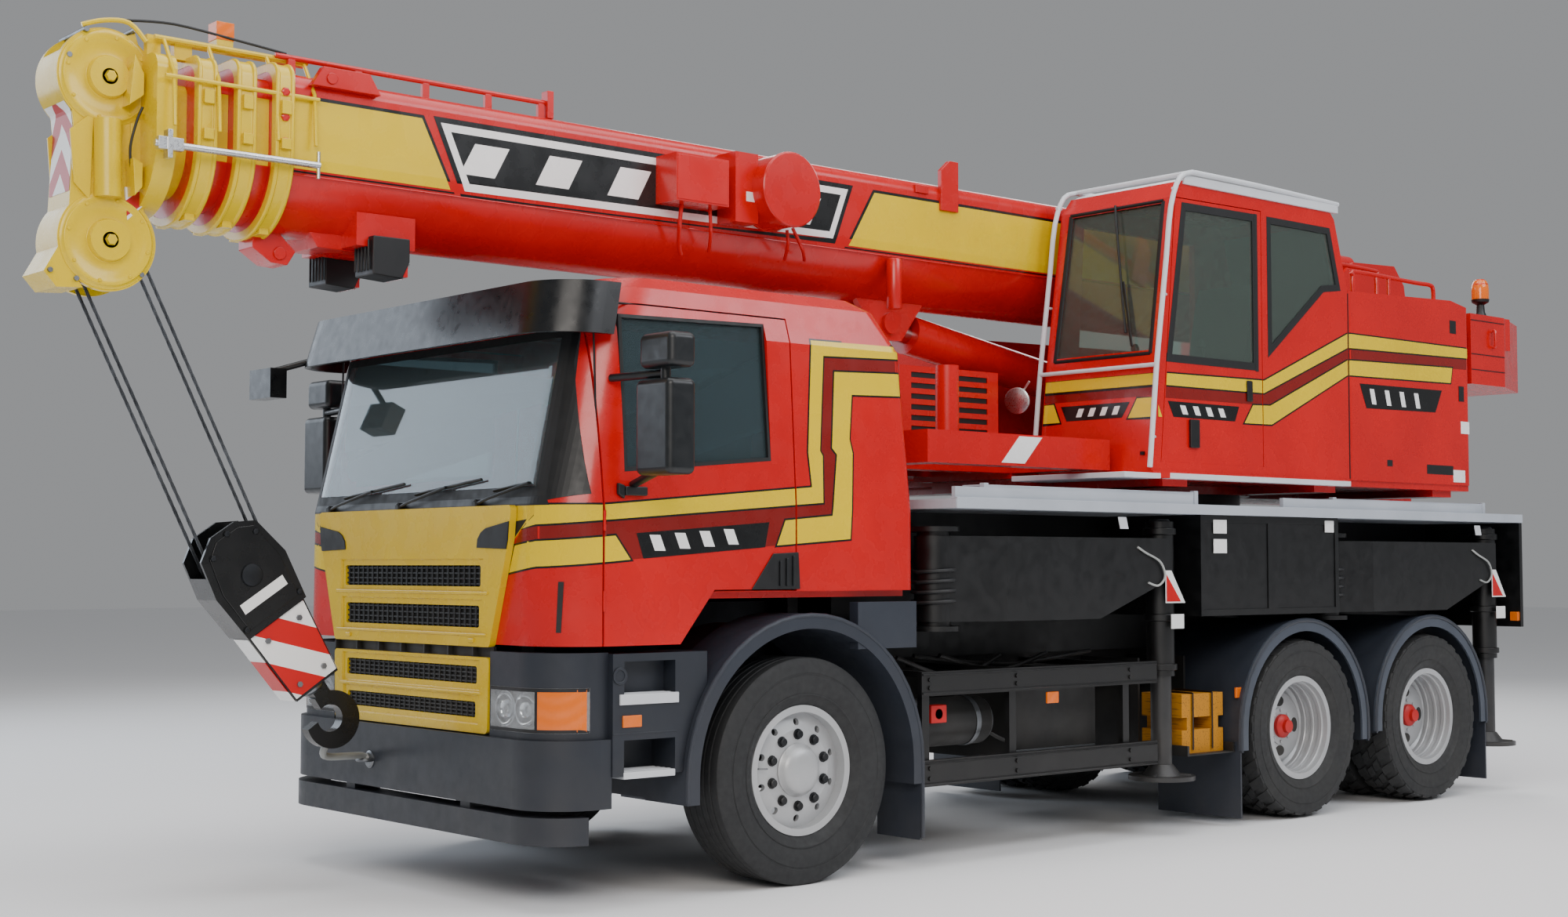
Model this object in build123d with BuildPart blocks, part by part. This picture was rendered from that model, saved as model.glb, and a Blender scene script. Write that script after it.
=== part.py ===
"""Three-axle mobile crane: a truck carrier with a slewing telescopic boom.

Millimetres. +X forward, +Y left, +Z up. The origin is on the ground, under the
middle of the overall length. Lengths along the truck are given from the front axle.
"""
import os
from math import atan2, cos, hypot, radians, sin
from build123d import *

# ---- driving sizes ---------------------------------------------------------
head_reach = 3215          # front axle to the foremost point, the boom head's lip
tail_reach = 6815          # front axle to the counterweight's rear face
front_axle_x = (tail_reach - head_reach) / 2
first_wheelbase = 3920     # front axle to the first driven axle
bogie_spread = 1360        # between the two driven axles
rear_overhang = 1085       # last axle to the deck's rear edge
fit = 0.3                  # running gap at pins, shafts, pads and seats
free = 8                   # gap between panels that move past each other

tyre_radius = 530
tyre_width = 314
wheel_z = tyre_radius
rim_radius = 286
rim_width = 236
rim_wall = 14
rim_lip = 19
hub_radius = 88
spindle_radius = 40
front_track_y = 1055       # centre of a front tyre
twin_spacing = 350         # between the tyres of a pair
twin_outer_y = 1083        # centre of an outer rear tyre
kingpin_y = 850
kingpin_radius = 28

rail_outer_y = 430
rail_height = 290
rail_top = 1000
rail_flange = 80
rail_wall = 10
rail_front = 1120
rail_rear = -first_wheelbase - bogie_spread - rear_overhang + 36

cab_half_width = 1215
cab_wall = 45
cab_floor = 1375
cab_floor_thickness = 35
cab_bottom = 1140
cab_front = 1395
cab_rear = -711
door_front = 1165
door_rear = 75
door_top = 2650
door_hinge_y = cab_half_width - 8
window_sill = 1900
window_top = 2600
screen_bottom = 1775
screen_top = 2530
roof_top = 2795

deck_top = 1825
deck_thickness = 48
deck_half_width = 1275
deck_front = -935
deck_rear = -first_wheelbase - bogie_spread - rear_overhang
subframe_half_width = 560
subframe_bottom = rail_top
subframe_top = deck_top - deck_thickness

slew_x = -3900             # slewing centre
slew_ring_radius = 640
slew_top = 1925            # underside of what turns
table_thickness = 75

crane_cab_inner_y = 425
crane_cab_outer_y = 1250
crane_cab_bottom = 2012
crane_cab_wall = 42

pivot_x = -6150            # boom foot pin
pivot_z = 3330
boom_axis_z = 3275         # centre of the round belly
boom_half_width = 310
boom_step = 36             # each section is this much smaller all round
boom_wall = 9
boom_rise = 380            # belly centre to the flat top
boom_front = 2300
boom_tail = -5900
section_rear_step = 90
collar_length = 88

cylinder_low_x = -4900     # luffing cylinder's lower pin
cylinder_low_z = 2320
cylinder_eye_x = -1600     # its rod's eye under the boom
cylinder_eye_z = 2860
cylinder_radius = 115
rod_radius = 56
eye_half_width = 60
barrel_eye_half = cylinder_radius + 3

head_axle_x = 2950         # lower head sheaves
head_axle_z = 2850
head_top_axle_x = 2965
head_top_axle_z = 3540
sheave_radius = 150
rope_radius = 8
rope_y = 46                # the two sheaves of each set, either side of the middle
rope_tilt = 26             # the falls lean back to the lashed hook block
hook_drop = 1560           # head axle to hook block axle
block_tilt = 34


def ahead(distance):
    """X of a place this far ahead of the front axle."""
    return front_axle_x + distance


def side_plane(y):
    """Plane of constant Y whose sketch axes are X and Z; it extrudes towards -Y."""
    return Plane(origin=(0, y, 0), x_dir=(1, 0, 0), z_dir=(0, -1, 0))


def block(x, y, z, mode=Mode.ADD):
    """Box between two values along each axis, given in either order."""
    x, y, z = sorted(x), sorted(y), sorted(z)
    with Locations(((x[0] + x[1]) / 2, (y[0] + y[1]) / 2, (z[0] + z[1]) / 2)):
        Box(x[1] - x[0], y[1] - y[0], z[1] - z[0], mode=mode)


def rod(start, end, radius, mode=Mode.ADD):
    """Round bar from one point to another."""
    way = Vector(*end) - Vector(*start)
    with BuildSketch(Plane(origin=start, z_dir=way.normalized())) as end_face:
        Circle(radius)
    extrude(end_face.sketch, amount=way.length, mode=mode)


def cross_pin(x, z, radius, y, mode=Mode.ADD):
    """Round bar along Y between two values of Y."""
    rod((x, y[0], z), (x, y[1], z), radius, mode)


def profile(points, y, mode=Mode.ADD):
    """Side outline in X and Z, extruded between two values of Y."""
    y = sorted(y)
    with BuildSketch(side_plane(y[1])) as side_face:
        Polygon(*points, align=None)
    extrude(side_face.sketch, amount=y[1] - y[0], mode=mode)


def write(piece, name):
    """Label one finished piece and write its STEP file."""
    piece.part.label = name
    export_step(piece.part, f"parts/{name}.step")


def write_pair(piece, name):
    """Write a left-hand piece and its mirror image."""
    write(piece, f"{name}_left")
    with BuildPart() as other:
        mirror(piece.part, about=Plane.XZ)
    write(other, f"{name}_right")


os.makedirs("parts", exist_ok=True)

# ---- wheels and tyres ------------------------------------------------------
# (name, x from the front axle, tyre centres, disc offset from the rim's middle)
axle_x = {"front": 0, "middle": -first_wheelbase, "rear": -first_wheelbase - bogie_spread}


def tyre_ring(x, y):
    """One tyre: bead, sidewalls and tread as straight runs."""
    half = tyre_width / 2
    bead = rim_width / 2 - 18
    with BuildSketch(Plane(origin=(x, y, wheel_z), x_dir=(1, 0, 0), z_dir=(0, 0, 1))) as half_section:
        Polygon(
            (rim_radius + fit, -bead), (rim_radius + fit, bead),
            (rim_radius + rim_lip + 1, bead + 3), (rim_radius + rim_lip + 5, rim_width / 2 + 4),
            (rim_radius + 50, half - 16), (tyre_radius - 110, half),
            (tyre_radius - 28, half - 8), (tyre_radius, half - 34),
            (tyre_radius, -half + 34), (tyre_radius - 28, -half + 8),
            (tyre_radius - 110, -half), (rim_radius + 50, -half + 16),
            (rim_radius + rim_lip + 5, -rim_width / 2 - 4), (rim_radius + rim_lip + 1, -bead - 3),
            align=None)
    revolve(half_section.sketch, axis=Axis((x, 0, wheel_z), (0, 1, 0)))


def rim_ring(x, y, disc_y, side):
    """One rim with its disc; disc_y is the disc's outer face at the hub."""
    half = rim_width / 2
    with BuildSketch(Plane(origin=(x, y, wheel_z), x_dir=(1, 0, 0), z_dir=(0, 0, 1))) as half_section:
        Polygon(
            (rim_radius - rim_wall, -half), (rim_radius + rim_lip, -half),
            (rim_radius + rim_lip, -half + 10), (rim_radius, -half + 14),
            (rim_radius, half - 14), (rim_radius + rim_lip, half - 10),
            (rim_radius + rim_lip, half), (rim_radius - rim_wall, half), align=None)
        Polygon(
            (rim_radius - rim_wall + 1, side * 40), (rim_radius - rim_wall + 1, side * 62),
            (190, disc_y), (spindle_radius + fit, disc_y),
            (spindle_radius + fit, disc_y - side * 20), (180, disc_y - side * 20), align=None)
    revolve(half_section.sketch, axis=Axis((x, 0, wheel_z), (0, 1, 0)))


with BuildPart() as front_wheel:
    rim_ring(ahead(0), front_track_y, 88, 1)
    # hand holes round the disc
    with BuildSketch(Plane(origin=(ahead(0), front_track_y, wheel_z), z_dir=(0, 1, 0))):
        with PolarLocations(225, 10):
            Circle(17)
    extrude(amount=rim_width / 2, mode=Mode.SUBTRACT)
    hub_x = ahead(0)
    cross_pin(hub_x, wheel_z, hub_radius, (front_track_y - 60, front_track_y + 110))
    cross_pin(hub_x, wheel_z, spindle_radius + fit, (front_track_y - 61, front_track_y + 70),
              Mode.SUBTRACT)
write_pair(front_wheel, "wheel_front")

with BuildPart() as front_tyre:
    tyre_ring(ahead(0), front_track_y)
write_pair(front_tyre, "tyre_front")

twin_middle = twin_outer_y - twin_spacing / 2
for place in ("middle", "rear"):
    with BuildPart() as twin_wheels:
        rim_ring(ahead(axle_x[place]), twin_outer_y, twin_middle - twin_outer_y + 21, -1)
        rim_ring(ahead(axle_x[place]), twin_outer_y - twin_spacing,
                 twin_outer_y - twin_middle - 21, 1)
        cross_pin(ahead(axle_x[place]), wheel_z, hub_radius + 20,
                  (twin_middle - 110, twin_middle + 150))
        cross_pin(ahead(axle_x[place]), wheel_z, spindle_radius + fit,
                  (twin_middle - 111, twin_middle + 100), Mode.SUBTRACT)
    write_pair(twin_wheels, f"wheels_{place}")
    with BuildPart() as twin_tyres:
        tyre_ring(ahead(axle_x[place]), twin_outer_y)
        tyre_ring(ahead(axle_x[place]), twin_outer_y - twin_spacing)
    write_pair(twin_tyres, f"tyres_{place}")

# ---- steering knuckles and axles -------------------------------------------
knuckle_half = 70
fork_lug = 34
with BuildPart() as knuckle:
    rod((ahead(0), kingpin_y, wheel_z - knuckle_half),
        (ahead(0), kingpin_y, wheel_z + knuckle_half), kingpin_radius + 17)
    cross_pin(ahead(0), wheel_z, spindle_radius, (kingpin_y, front_track_y + 70))
    block((ahead(-190), ahead(0)), (kingpin_y - 6, kingpin_y + 26), (wheel_z - 55, wheel_z - 25))
    rod((ahead(0), kingpin_y, wheel_z - knuckle_half), (ahead(0), kingpin_y, wheel_z + knuckle_half),
        kingpin_radius + fit, Mode.SUBTRACT)
write_pair(knuckle, "knuckle")

spring_half_width = 38
spring_y = rail_outer_y - 42
with BuildPart() as axles:
    # front beam, dropped in the middle, with a fork at each kingpin
    beam_end = kingpin_y + 40
    with BuildSketch(Plane(origin=(ahead(0), 0, 0), x_dir=(0, 1, 0), z_dir=(1, 0, 0))):
        Polygon((-beam_end + 90, wheel_z + 40), (-560, wheel_z - 20), (-470, wheel_z - 70),
                (470, wheel_z - 70), (560, wheel_z - 20), (beam_end - 90, wheel_z + 40),
                (beam_end - 90, wheel_z - 60), (560, wheel_z - 120), (470, wheel_z - 170),
                (-470, wheel_z - 170), (-560, wheel_z - 120), (-beam_end + 90, wheel_z - 60),
                align=None)
    extrude(amount=38, both=True)
    for side in (-1, 1):
        pin_y = side * kingpin_y
        for way in (-1, 1):
            near = wheel_z + way * (knuckle_half + fit)
            rod((ahead(0), pin_y, near), (ahead(0), pin_y, near + way * fork_lug), 44)
            inner = (side * (beam_end - 92), pin_y - side * 20)
            block((ahead(-40), ahead(40)), inner, (near, near + way * fork_lug))
        web = (side * (beam_end - 120), side * (beam_end - 92))
        block((ahead(-40), ahead(40)), web,
              (wheel_z - knuckle_half - fork_lug, wheel_z + knuckle_half + fork_lug))
        rod((ahead(0), pin_y, wheel_z - knuckle_half - fork_lug),
            (ahead(0), pin_y, wheel_z + knuckle_half + fork_lug), kingpin_radius)
        # leaf spring from hanger to hanger, seated on the beam
        profile([(ahead(-760), rail_top - rail_height), (ahead(-90), wheel_z + 10),
                 (ahead(-90), wheel_z - 72), (ahead(90), wheel_z - 72), (ahead(90), wheel_z + 10),
                 (ahead(760), rail_top - rail_height), (ahead(660), rail_top - rail_height),
                 (ahead(60), wheel_z + 70), (ahead(-60), wheel_z + 70),
                 (ahead(-660), rail_top - rail_height)],
                (side * spring_y - spring_half_width, side * spring_y + spring_half_width))
    # driven axles: tube, differential and the stub ends inside the hubs
    for place in ("middle", "rear"):
        x = ahead(axle_x[place])
        cross_pin(x, wheel_z, 72, (-twin_middle + 112, twin_middle - 112))
        cross_pin(x, wheel_z, spindle_radius, (-twin_middle - 99, twin_middle + 99))
        with Locations((x, 0, wheel_z)):
            Sphere(215)
        cross_pin(x, wheel_z, 190, (-95, 95))
    rod((ahead(axle_x["rear"]), 0, wheel_z + 60), (ahead(axle_x["middle"]), 0, wheel_z + 60), 45)
    bogie_x = (axle_x["middle"] + axle_x["rear"]) / 2
    for side in (-1, 1):
        # leaf pack rocking on a trunnion between the two axles
        profile([(ahead(axle_x["rear"] - 80), wheel_z + 60), (ahead(axle_x["rear"] + 90), wheel_z + 60),
                 (ahead(bogie_x), wheel_z + 100), (ahead(axle_x["middle"] - 90), wheel_z + 60),
                 (ahead(axle_x["middle"] + 80), wheel_z + 60),
                 (ahead(axle_x["middle"] + 80), wheel_z + 100),
                 (ahead(bogie_x + 120), rail_top - rail_height - fit),
                 (ahead(bogie_x - 120), rail_top - rail_height - fit),
                 (ahead(axle_x["rear"] - 80), wheel_z + 100)],
                (side * spring_y - spring_half_width, side * spring_y + spring_half_width))
write(axles, "axles")

# ---- chassis ---------------------------------------------------------------
with BuildPart() as chassis:
    # channel rails, open towards the middle
    for side in (-1, 1):
        with BuildSketch(Plane.YZ.offset(ahead(rail_rear))):
            Polygon((side * rail_outer_y, rail_top), (side * (rail_outer_y - rail_flange), rail_top),
                    (side * (rail_outer_y - rail_flange), rail_top - rail_wall),
                    (side * (rail_outer_y - rail_wall), rail_top - rail_wall),
                    (side * (rail_outer_y - rail_wall), rail_top - rail_height + rail_wall),
                    (side * (rail_outer_y - rail_flange), rail_top - rail_height + rail_wall),
                    (side * (rail_outer_y - rail_flange), rail_top - rail_height),
                    (side * rail_outer_y, rail_top - rail_height), align=None)
        extrude(amount=rail_front - rail_rear)
    # brackets that carry the driver's cab
    for place in (1040, -590):
        for side in (-1, 1):
            block((ahead(place - 35), ahead(place + 35)),
                  (side * (rail_outer_y - rail_flange), side * rail_outer_y),
                  (rail_top - rail_wall, cab_floor - cab_floor_thickness - fit))
    for place in (1020, -800, -1900, -2900, bogie_x, rail_rear + 79):
        block((ahead(place - 60), ahead(place + 60)), (-rail_outer_y + rail_wall, rail_outer_y - rail_wall),
              (rail_top - rail_height + rail_wall, rail_top - rail_wall - 20))
write(chassis, "chassis_frame")

engine_rear = -560
engine_front = 860
with BuildPart() as engine:
    block((ahead(engine_rear), ahead(engine_front)), (-300, 300), (rail_top - 330, cab_floor - 70))
    block((ahead(-300), ahead(engine_front - 180)), (-345, 345),
          (rail_top - rail_height + 60, rail_top - 60))
    # mounting feet between the rails' webs
    for x in (-420, 620):
        block((ahead(x - 50), ahead(x + 50)),
              (-rail_outer_y + rail_wall + fit, rail_outer_y - rail_wall - fit),
              (rail_top - rail_height + 90, rail_top - rail_height + 150))
write(engine, "engine")

# ---- crane subframe, deck and outriggers -----------------------------------
leg_bottom = 1205
leg_top = 1640
leg_wall_gap = 22
# (name, pivot x, where the arm's full width starts, jack x) of each side's outriggers
outriggers = (
    ("front", -1010, -1351, -first_wheelbase + 1208),
    ("rear", deck_rear + 1945, deck_rear + 1714, deck_rear + 245),
)
leg_pivot_y = 1040
leg_pivot_radius = 62
jack_y = deck_half_width - 150
arm_inner = 70             # the arm's faces either side of its jack's centre
arm_outer = 110
jack_tube_radius = 78
jack_rod_radius = 58
jack_top = 1735
foot_radius = 185
foot_bottom = 300
end_plate = 35
locker_front = -first_wheelbase + 985
locker_rear = deck_rear + 2090
locker_outer_y = deck_half_width - 35

with BuildPart() as subframe:
    block((ahead(-740), ahead(deck_rear + end_plate)), (-subframe_half_width, subframe_half_width),
          (subframe_bottom, subframe_top))
    block((ahead(-700), ahead(deck_rear + end_plate + 400)),
          (-subframe_half_width + 20, subframe_half_width - 20),
          (subframe_bottom + 20, subframe_top - 20), Mode.SUBTRACT)
    # rear plate with its cut-away lower corners
    with BuildSketch(Plane.YZ.offset(ahead(deck_rear))):
        Polygon((-deck_half_width + 5, subframe_top), (deck_half_width - 5, subframe_top),
                (deck_half_width - 5, 1080), (subframe_half_width + 60, 1080), (480, 860), (-480, 860),
                (-subframe_half_width - 60, 1080), (-deck_half_width + 5, 1080), align=None)
    extrude(amount=end_plate)
    # lower half of the slewing ring
    with Locations((ahead(slew_x), 0, subframe_top - 20)):
        Cylinder(slew_ring_radius, slew_top - subframe_top + 20 - fit,
                 align=(Align.CENTER, Align.CENTER, Align.MIN))
    for side in (-1, 1):
        for name, pivot, wide, jack in outriggers:
            for low, high in ((leg_bottom - leg_wall_gap - 25, leg_bottom - leg_wall_gap),
                              (leg_top + leg_wall_gap, leg_top + leg_wall_gap + 25)):
                with BuildSketch(Plane.XY.offset(low)):
                    Polygon((ahead(pivot - 230), side * (subframe_half_width - 20)),
                            (ahead(pivot - 110), side * (leg_pivot_y + 30)),
                            (ahead(pivot + 110), side * (leg_pivot_y + 30)),
                            (ahead(pivot + 230), side * (subframe_half_width - 20)), align=None)
                    with Locations((ahead(pivot), side * (leg_pivot_y + 10))):
                        Circle(125)
                extrude(amount=high - low)
            rod((ahead(pivot), side * leg_pivot_y, leg_bottom - leg_wall_gap),
                (ahead(pivot), side * leg_pivot_y, leg_top + leg_wall_gap), leg_pivot_radius)
        # side lockers between the outriggers, with two recessed doors
        block((ahead(locker_rear), ahead(locker_front)),
              (side * (subframe_half_width - 5), side * locker_outer_y), (leg_bottom, subframe_top))
        for middle in (locker_front - 335, locker_rear + 330):
            block((ahead(middle - 295), ahead(middle + 295)),
                  (side * (locker_outer_y - 6), side * (locker_outer_y + 5)), (1240, 1735), Mode.SUBTRACT)
write(subframe, "crane_subframe")

with BuildPart() as deck:
    block((ahead(deck_rear), ahead(deck_front)), (-deck_half_width, deck_half_width),
          (deck_top - deck_thickness, deck_top))
    with Locations((ahead(slew_x), 0, deck_top - deck_thickness / 2)):
        Cylinder(slew_ring_radius + 2, deck_thickness + 2, mode=Mode.SUBTRACT)
    # kick planks along the edges, low enough for the tail to pass over
    for side in (-1, 1):
        for start, end in ((-2850, -950), (deck_rear + 552, deck_rear + 2668)):
            block((ahead(start), ahead(end)), (side * (deck_half_width - 45), side * (deck_half_width - 20)),
                  (deck_top, deck_top + 62))
write(deck, "deck")

for name, pivot, wide, jack in outriggers:
    with BuildPart() as leg:
        # box arm from the pivot tube to the jack sleeve, its lower edge cut up to the rear
        arm = [(ahead(wide), leg_top), (ahead(jack + 30), leg_top),
               (ahead(jack + 30), leg_bottom + 215), (ahead(jack + 640), leg_bottom),
               (ahead(wide), leg_bottom)]
        profile(arm, (jack_y - arm_inner, jack_y + arm_outer))
        # its front end narrows to the pivot tube
        with BuildSketch(Plane.XY.offset(leg_bottom)):
            Polygon((ahead(pivot), leg_pivot_y - 95), (ahead(pivot), leg_pivot_y + 95),
                    (ahead(wide), jack_y + arm_outer), (ahead(wide - 200), jack_y + arm_outer),
                    (ahead(wide - 200), jack_y - arm_inner), align=None)
            with Locations((ahead(pivot), leg_pivot_y)):
                Circle(100)
        extrude(amount=leg_top - leg_bottom)
        rod((ahead(pivot), leg_pivot_y, leg_bottom - leg_wall_gap + fit),
            (ahead(pivot), leg_pivot_y, leg_top + leg_wall_gap - fit), leg_pivot_radius + 24)
        rod((ahead(pivot), leg_pivot_y, leg_bottom - 30), (ahead(pivot), leg_pivot_y, leg_top + 30),
            leg_pivot_radius + fit, Mode.SUBTRACT)
        rod((ahead(jack), jack_y, leg_bottom - 330), (ahead(jack), jack_y, jack_top), jack_tube_radius)
        rod((ahead(jack), jack_y, leg_bottom - 331), (ahead(jack), jack_y, jack_top - 20),
            jack_rod_radius + fit, Mode.SUBTRACT)
    write_pair(leg, f"outrigger_leg_{name}")
    with BuildPart() as foot:
        rod((ahead(jack), jack_y, foot_bottom + 20), (ahead(jack), jack_y, jack_top - 60),
            jack_rod_radius)
        with Locations((ahead(jack), jack_y, foot_bottom)):
            Cylinder(foot_radius, 24, align=(Align.CENTER, Align.CENTER, Align.MIN))
        with Locations((ahead(jack), jack_y, foot_bottom + 24)):
            Cone(110, jack_rod_radius + 6, 60, align=(Align.CENTER, Align.CENTER, Align.MIN))
    write_pair(foot, f"outrigger_jack_{name}")


# ---- mudguards, side guards, tanks and timber rack ---------------------------
front_arch_inner = 665
front_arch_outer = 735
guard_wall = 16
rear_arch_radius = 640
guard_inner_y = 572
guard_outer_y = deck_half_width - 25


def arch(x, inner, outer, low, y):
    """Half-round mudguard over a wheel, its legs straight down to a height."""
    with BuildSketch(side_plane(y[1])) as arch_face:
        with Locations((x, wheel_z)):
            Circle(outer)
        with Locations((x, (wheel_z + low) / 2)):
            Rectangle(2 * outer, wheel_z - low)
        with Locations((x, wheel_z)):
            Circle(inner, mode=Mode.SUBTRACT)
        with Locations((x, (wheel_z + low) / 2 - 200)):
            Rectangle(2 * inner, wheel_z - low + 400, mode=Mode.SUBTRACT)
        with Locations((x, low - 500)):
            Rectangle(3 * outer, 1000, mode=Mode.SUBTRACT)
    extrude(arch_face.sketch, amount=y[1] - y[0])


with BuildPart() as mudguards:
    arch(ahead(0), front_arch_inner, front_arch_outer, 425, (930, guard_outer_y - 5))
    # thin liner behind the front tyre and its flap
    arch(ahead(0), front_arch_inner, front_arch_inner + 15, 425, (560, 930))
    block((ahead(-front_arch_outer + 6), ahead(-front_arch_outer + 20)),
          (930, guard_outer_y - 15), (150, 430))
    # stays from the liner to the rail
    for x in (-650, 650):
        cross_pin(ahead(x), wheel_z + 170, 14, (rail_outer_y + fit, 566))
    # bridge from the arch to the cab's underside
    block((ahead(-690), ahead(-300)), (guard_outer_y - 70, guard_outer_y - 10),
          (wheel_z + 560, cab_floor - 60))

    # rear arches with their flaps and stays
    for place in ("middle", "rear"):
        low = {"middle": 420, "rear": 460}[place]
        arch(ahead(axle_x[place]), rear_arch_radius - guard_wall, rear_arch_radius, low,
             (guard_inner_y, guard_outer_y))
    for x, way, low in ((axle_x["middle"] + rear_arch_radius, -1, 45),
                        (axle_x["rear"] - rear_arch_radius, 1, 95)):
        block((ahead(x + way * 12), ahead(x)), (guard_inner_y + 70, guard_outer_y - 12), (low, 500))
    for place in ("middle", "rear"):
        block((ahead(axle_x[place] - 25), ahead(axle_x[place] + 25)),
              (subframe_half_width + fit, guard_inner_y + 60),
              (wheel_z + rear_arch_radius - 40, wheel_z + rear_arch_radius - 2))
    mirror(about=Plane.XZ)
write(mudguards, "mudguards")

side_guard_y = 1220
side_guard_rear = -first_wheelbase + 1360
with BuildPart() as side_guards:
    for low, high in ((400, 530), (845, 965)):
        block((ahead(side_guard_rear), ahead(-745)), (side_guard_y - 30, side_guard_y), (low, high))
    # posts behind the rails and the arms that hold them off the chassis
    for x in (-800, -1430, side_guard_rear + 230):
        block((ahead(x - 25), ahead(x + 25)), (side_guard_y - 62, side_guard_y - 30), (400, 965))
        block((ahead(x - 25), ahead(x + 25)), (rail_outer_y + fit, side_guard_y - 50), (938, 965))
    mirror(about=Plane.XZ)
write(side_guards, "side_guards")

with BuildPart() as tanks:
    # left: air reservoir and battery case; right: fuel tank
    rod((ahead(-1390), 960, 690), (ahead(-800), 960, 690), 125)
    block((ahead(-1270), ahead(-1230)), (rail_outer_y + fit, 860), (710, 740))
    block((ahead(side_guard_rear + 310), ahead(-1560)), (rail_outer_y + fit, 1040), (470, 925))
    block((ahead(side_guard_rear + 260), ahead(-880)), (-1120, -rail_outer_y - fit), (430, 925))
    fillet(edges().filter_by(Axis.X).group_by(Axis.Y)[0], 90)
write(tanks, "tanks")

rack_front = -first_wheelbase + 1070
rack_rear = -first_wheelbase + 655
with BuildPart() as rack:
    for x in (rack_front, rack_rear):
        block((ahead(x - 8), ahead(x + 8)), (rail_outer_y + fit, 1205), (430, 480))
        block((ahead(x - 8), ahead(x + 8)), (rail_outer_y + fit, 855), (430, 960))
    block((ahead(rack_rear - 8), ahead(rack_front + 8)), (rail_outer_y + 20, 1205), (422, 430))
write(rack, "timber_rack")

timber = 132
with BuildPart() as timbers:
    for row in (0, 1):
        for column in (0, 1):
            low = 430 + row * (timber + 70)
            near = 860 + column * (timber + 20)
            block((ahead(rack_rear + 20), ahead(rack_front - 20)), (near, near + timber), (low, low + timber))
            if row:
                # packing pieces between the two layers
                for x in (rack_rear + 95, rack_front - 95):
                    block((ahead(x - 30), ahead(x + 30)), (near, near + timber), (low - 70, low))
write(timbers, "timber_blocks")

# ---- truck cab ---------------------------------------------------------------
# (height, front, rear, half width, front corner radius, rear corner radius)
cab_levels = (
    (cab_bottom, cab_front, cab_rear, cab_half_width, 300, 60),
    (1760, cab_front - 5, cab_rear, cab_half_width, 300, 60),
    (2540, 1215, -665, cab_half_width - 45, 270, 60),
    (2735, 1090, -565, 1110, 250, 90),
    (roof_top, 960, -480, 1025, 230, 90),
)


def cab_form(inset):
    """Outer form of the cab, every wall moved in by the inset, open at the bottom."""
    levels = []
    for height, front, rear, half, front_radius, rear_radius in cab_levels:
        level = height
        if height == roof_top:
            level = height - inset
        elif height == cab_bottom and inset:
            level = height - 1
        with BuildSketch(Plane.XY.offset(level)) as level_face:
            with Locations((ahead((front + rear) / 2), 0)):
                Rectangle(front - rear - 2 * inset, 2 * (half - inset))
            fillet(vertices().group_by(Axis.X)[-1], front_radius - inset)
            fillet(vertices().group_by(Axis.X)[0], rear_radius - inset / 2)
        levels.append(level_face.sketch)
    loft(levels, ruled=True)


def door_outline(grow):
    """Side outline of a door, grown by a gap."""
    return [(ahead(door_front + grow), cab_bottom - 20), (ahead(door_front + grow), door_top + grow),
            (ahead(door_rear - grow), door_top + grow), (ahead(door_rear - grow), cab_floor + 5 - grow),
            (ahead(560 - grow), cab_floor + 5 - grow), (ahead(770 - grow), cab_bottom - 20)]


def screen_outline(shrink):
    """Front outline of the windscreen, in Y and Z."""
    return [(-1030 + shrink, screen_bottom + shrink), (1030 - shrink, screen_bottom + shrink),
            (1000 - shrink, screen_top - shrink), (-1000 + shrink, screen_top - shrink)]


with BuildPart() as cab_solid:
    cab_form(0)
with BuildPart() as cab_inside:
    cab_form(cab_wall)
with BuildPart() as cab_glass_inside:
    cab_form(8)
with BuildPart() as cab_skin:
    add(cab_solid.part)
    add(cab_inside.part, mode=Mode.SUBTRACT)

window = [(ahead(1060), window_sill), (ahead(1060), window_top), (ahead(215), window_top + 20),
          (ahead(215), window_sill + 75)]
with BuildPart() as door:
    add(cab_skin.part)
    profile(door_outline(0), (600, 1400), Mode.INTERSECT)
    profile(window, (900, 1400), Mode.SUBTRACT)
    # hinge barrels on its front edge
    for low in (1290, 1640):
        rod((ahead(door_front), door_hinge_y, low), (ahead(door_front), door_hinge_y, low + 90), 7)
write_pair(door, "door")

with BuildPart() as truck_cab:
    add(cab_skin.part)
    for side in (-1, 1):
        profile(door_outline(free), (side * 600, side * 1400), Mode.SUBTRACT)
    # the skirt stops above the wheels and the deck
    profile([(ahead(-900), cab_bottom - 20), (ahead(-900), cab_floor - 5), (ahead(560), cab_floor - 5),
             (ahead(770), cab_bottom - 20)], (-1400, 1400), Mode.SUBTRACT)
    with BuildSketch(Plane.YZ.offset(ahead(900))):
        Polygon(*screen_outline(0), align=None)
    extrude(amount=700, mode=Mode.SUBTRACT)
    floor_half = cab_half_width - cab_wall - free
    block((ahead(cab_rear + cab_wall - 5), ahead(cab_front - 320)), (-floor_half, floor_half),
          (cab_floor - cab_floor_thickness, cab_floor))
    block((ahead(cab_front - 330), ahead(cab_front - cab_wall + 5)), (-850, 850),
          (cab_floor - cab_floor_thickness, cab_floor))
write(truck_cab, "truck_cab")

with BuildPart() as windscreen:
    add(cab_solid.part)
    add(cab_glass_inside.part, mode=Mode.SUBTRACT)
    with BuildSketch(Plane.YZ.offset(ahead(900))):
        Polygon(*screen_outline(fit), align=None)
    extrude(amount=700, mode=Mode.INTERSECT)
write(windscreen, "windscreen")

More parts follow.
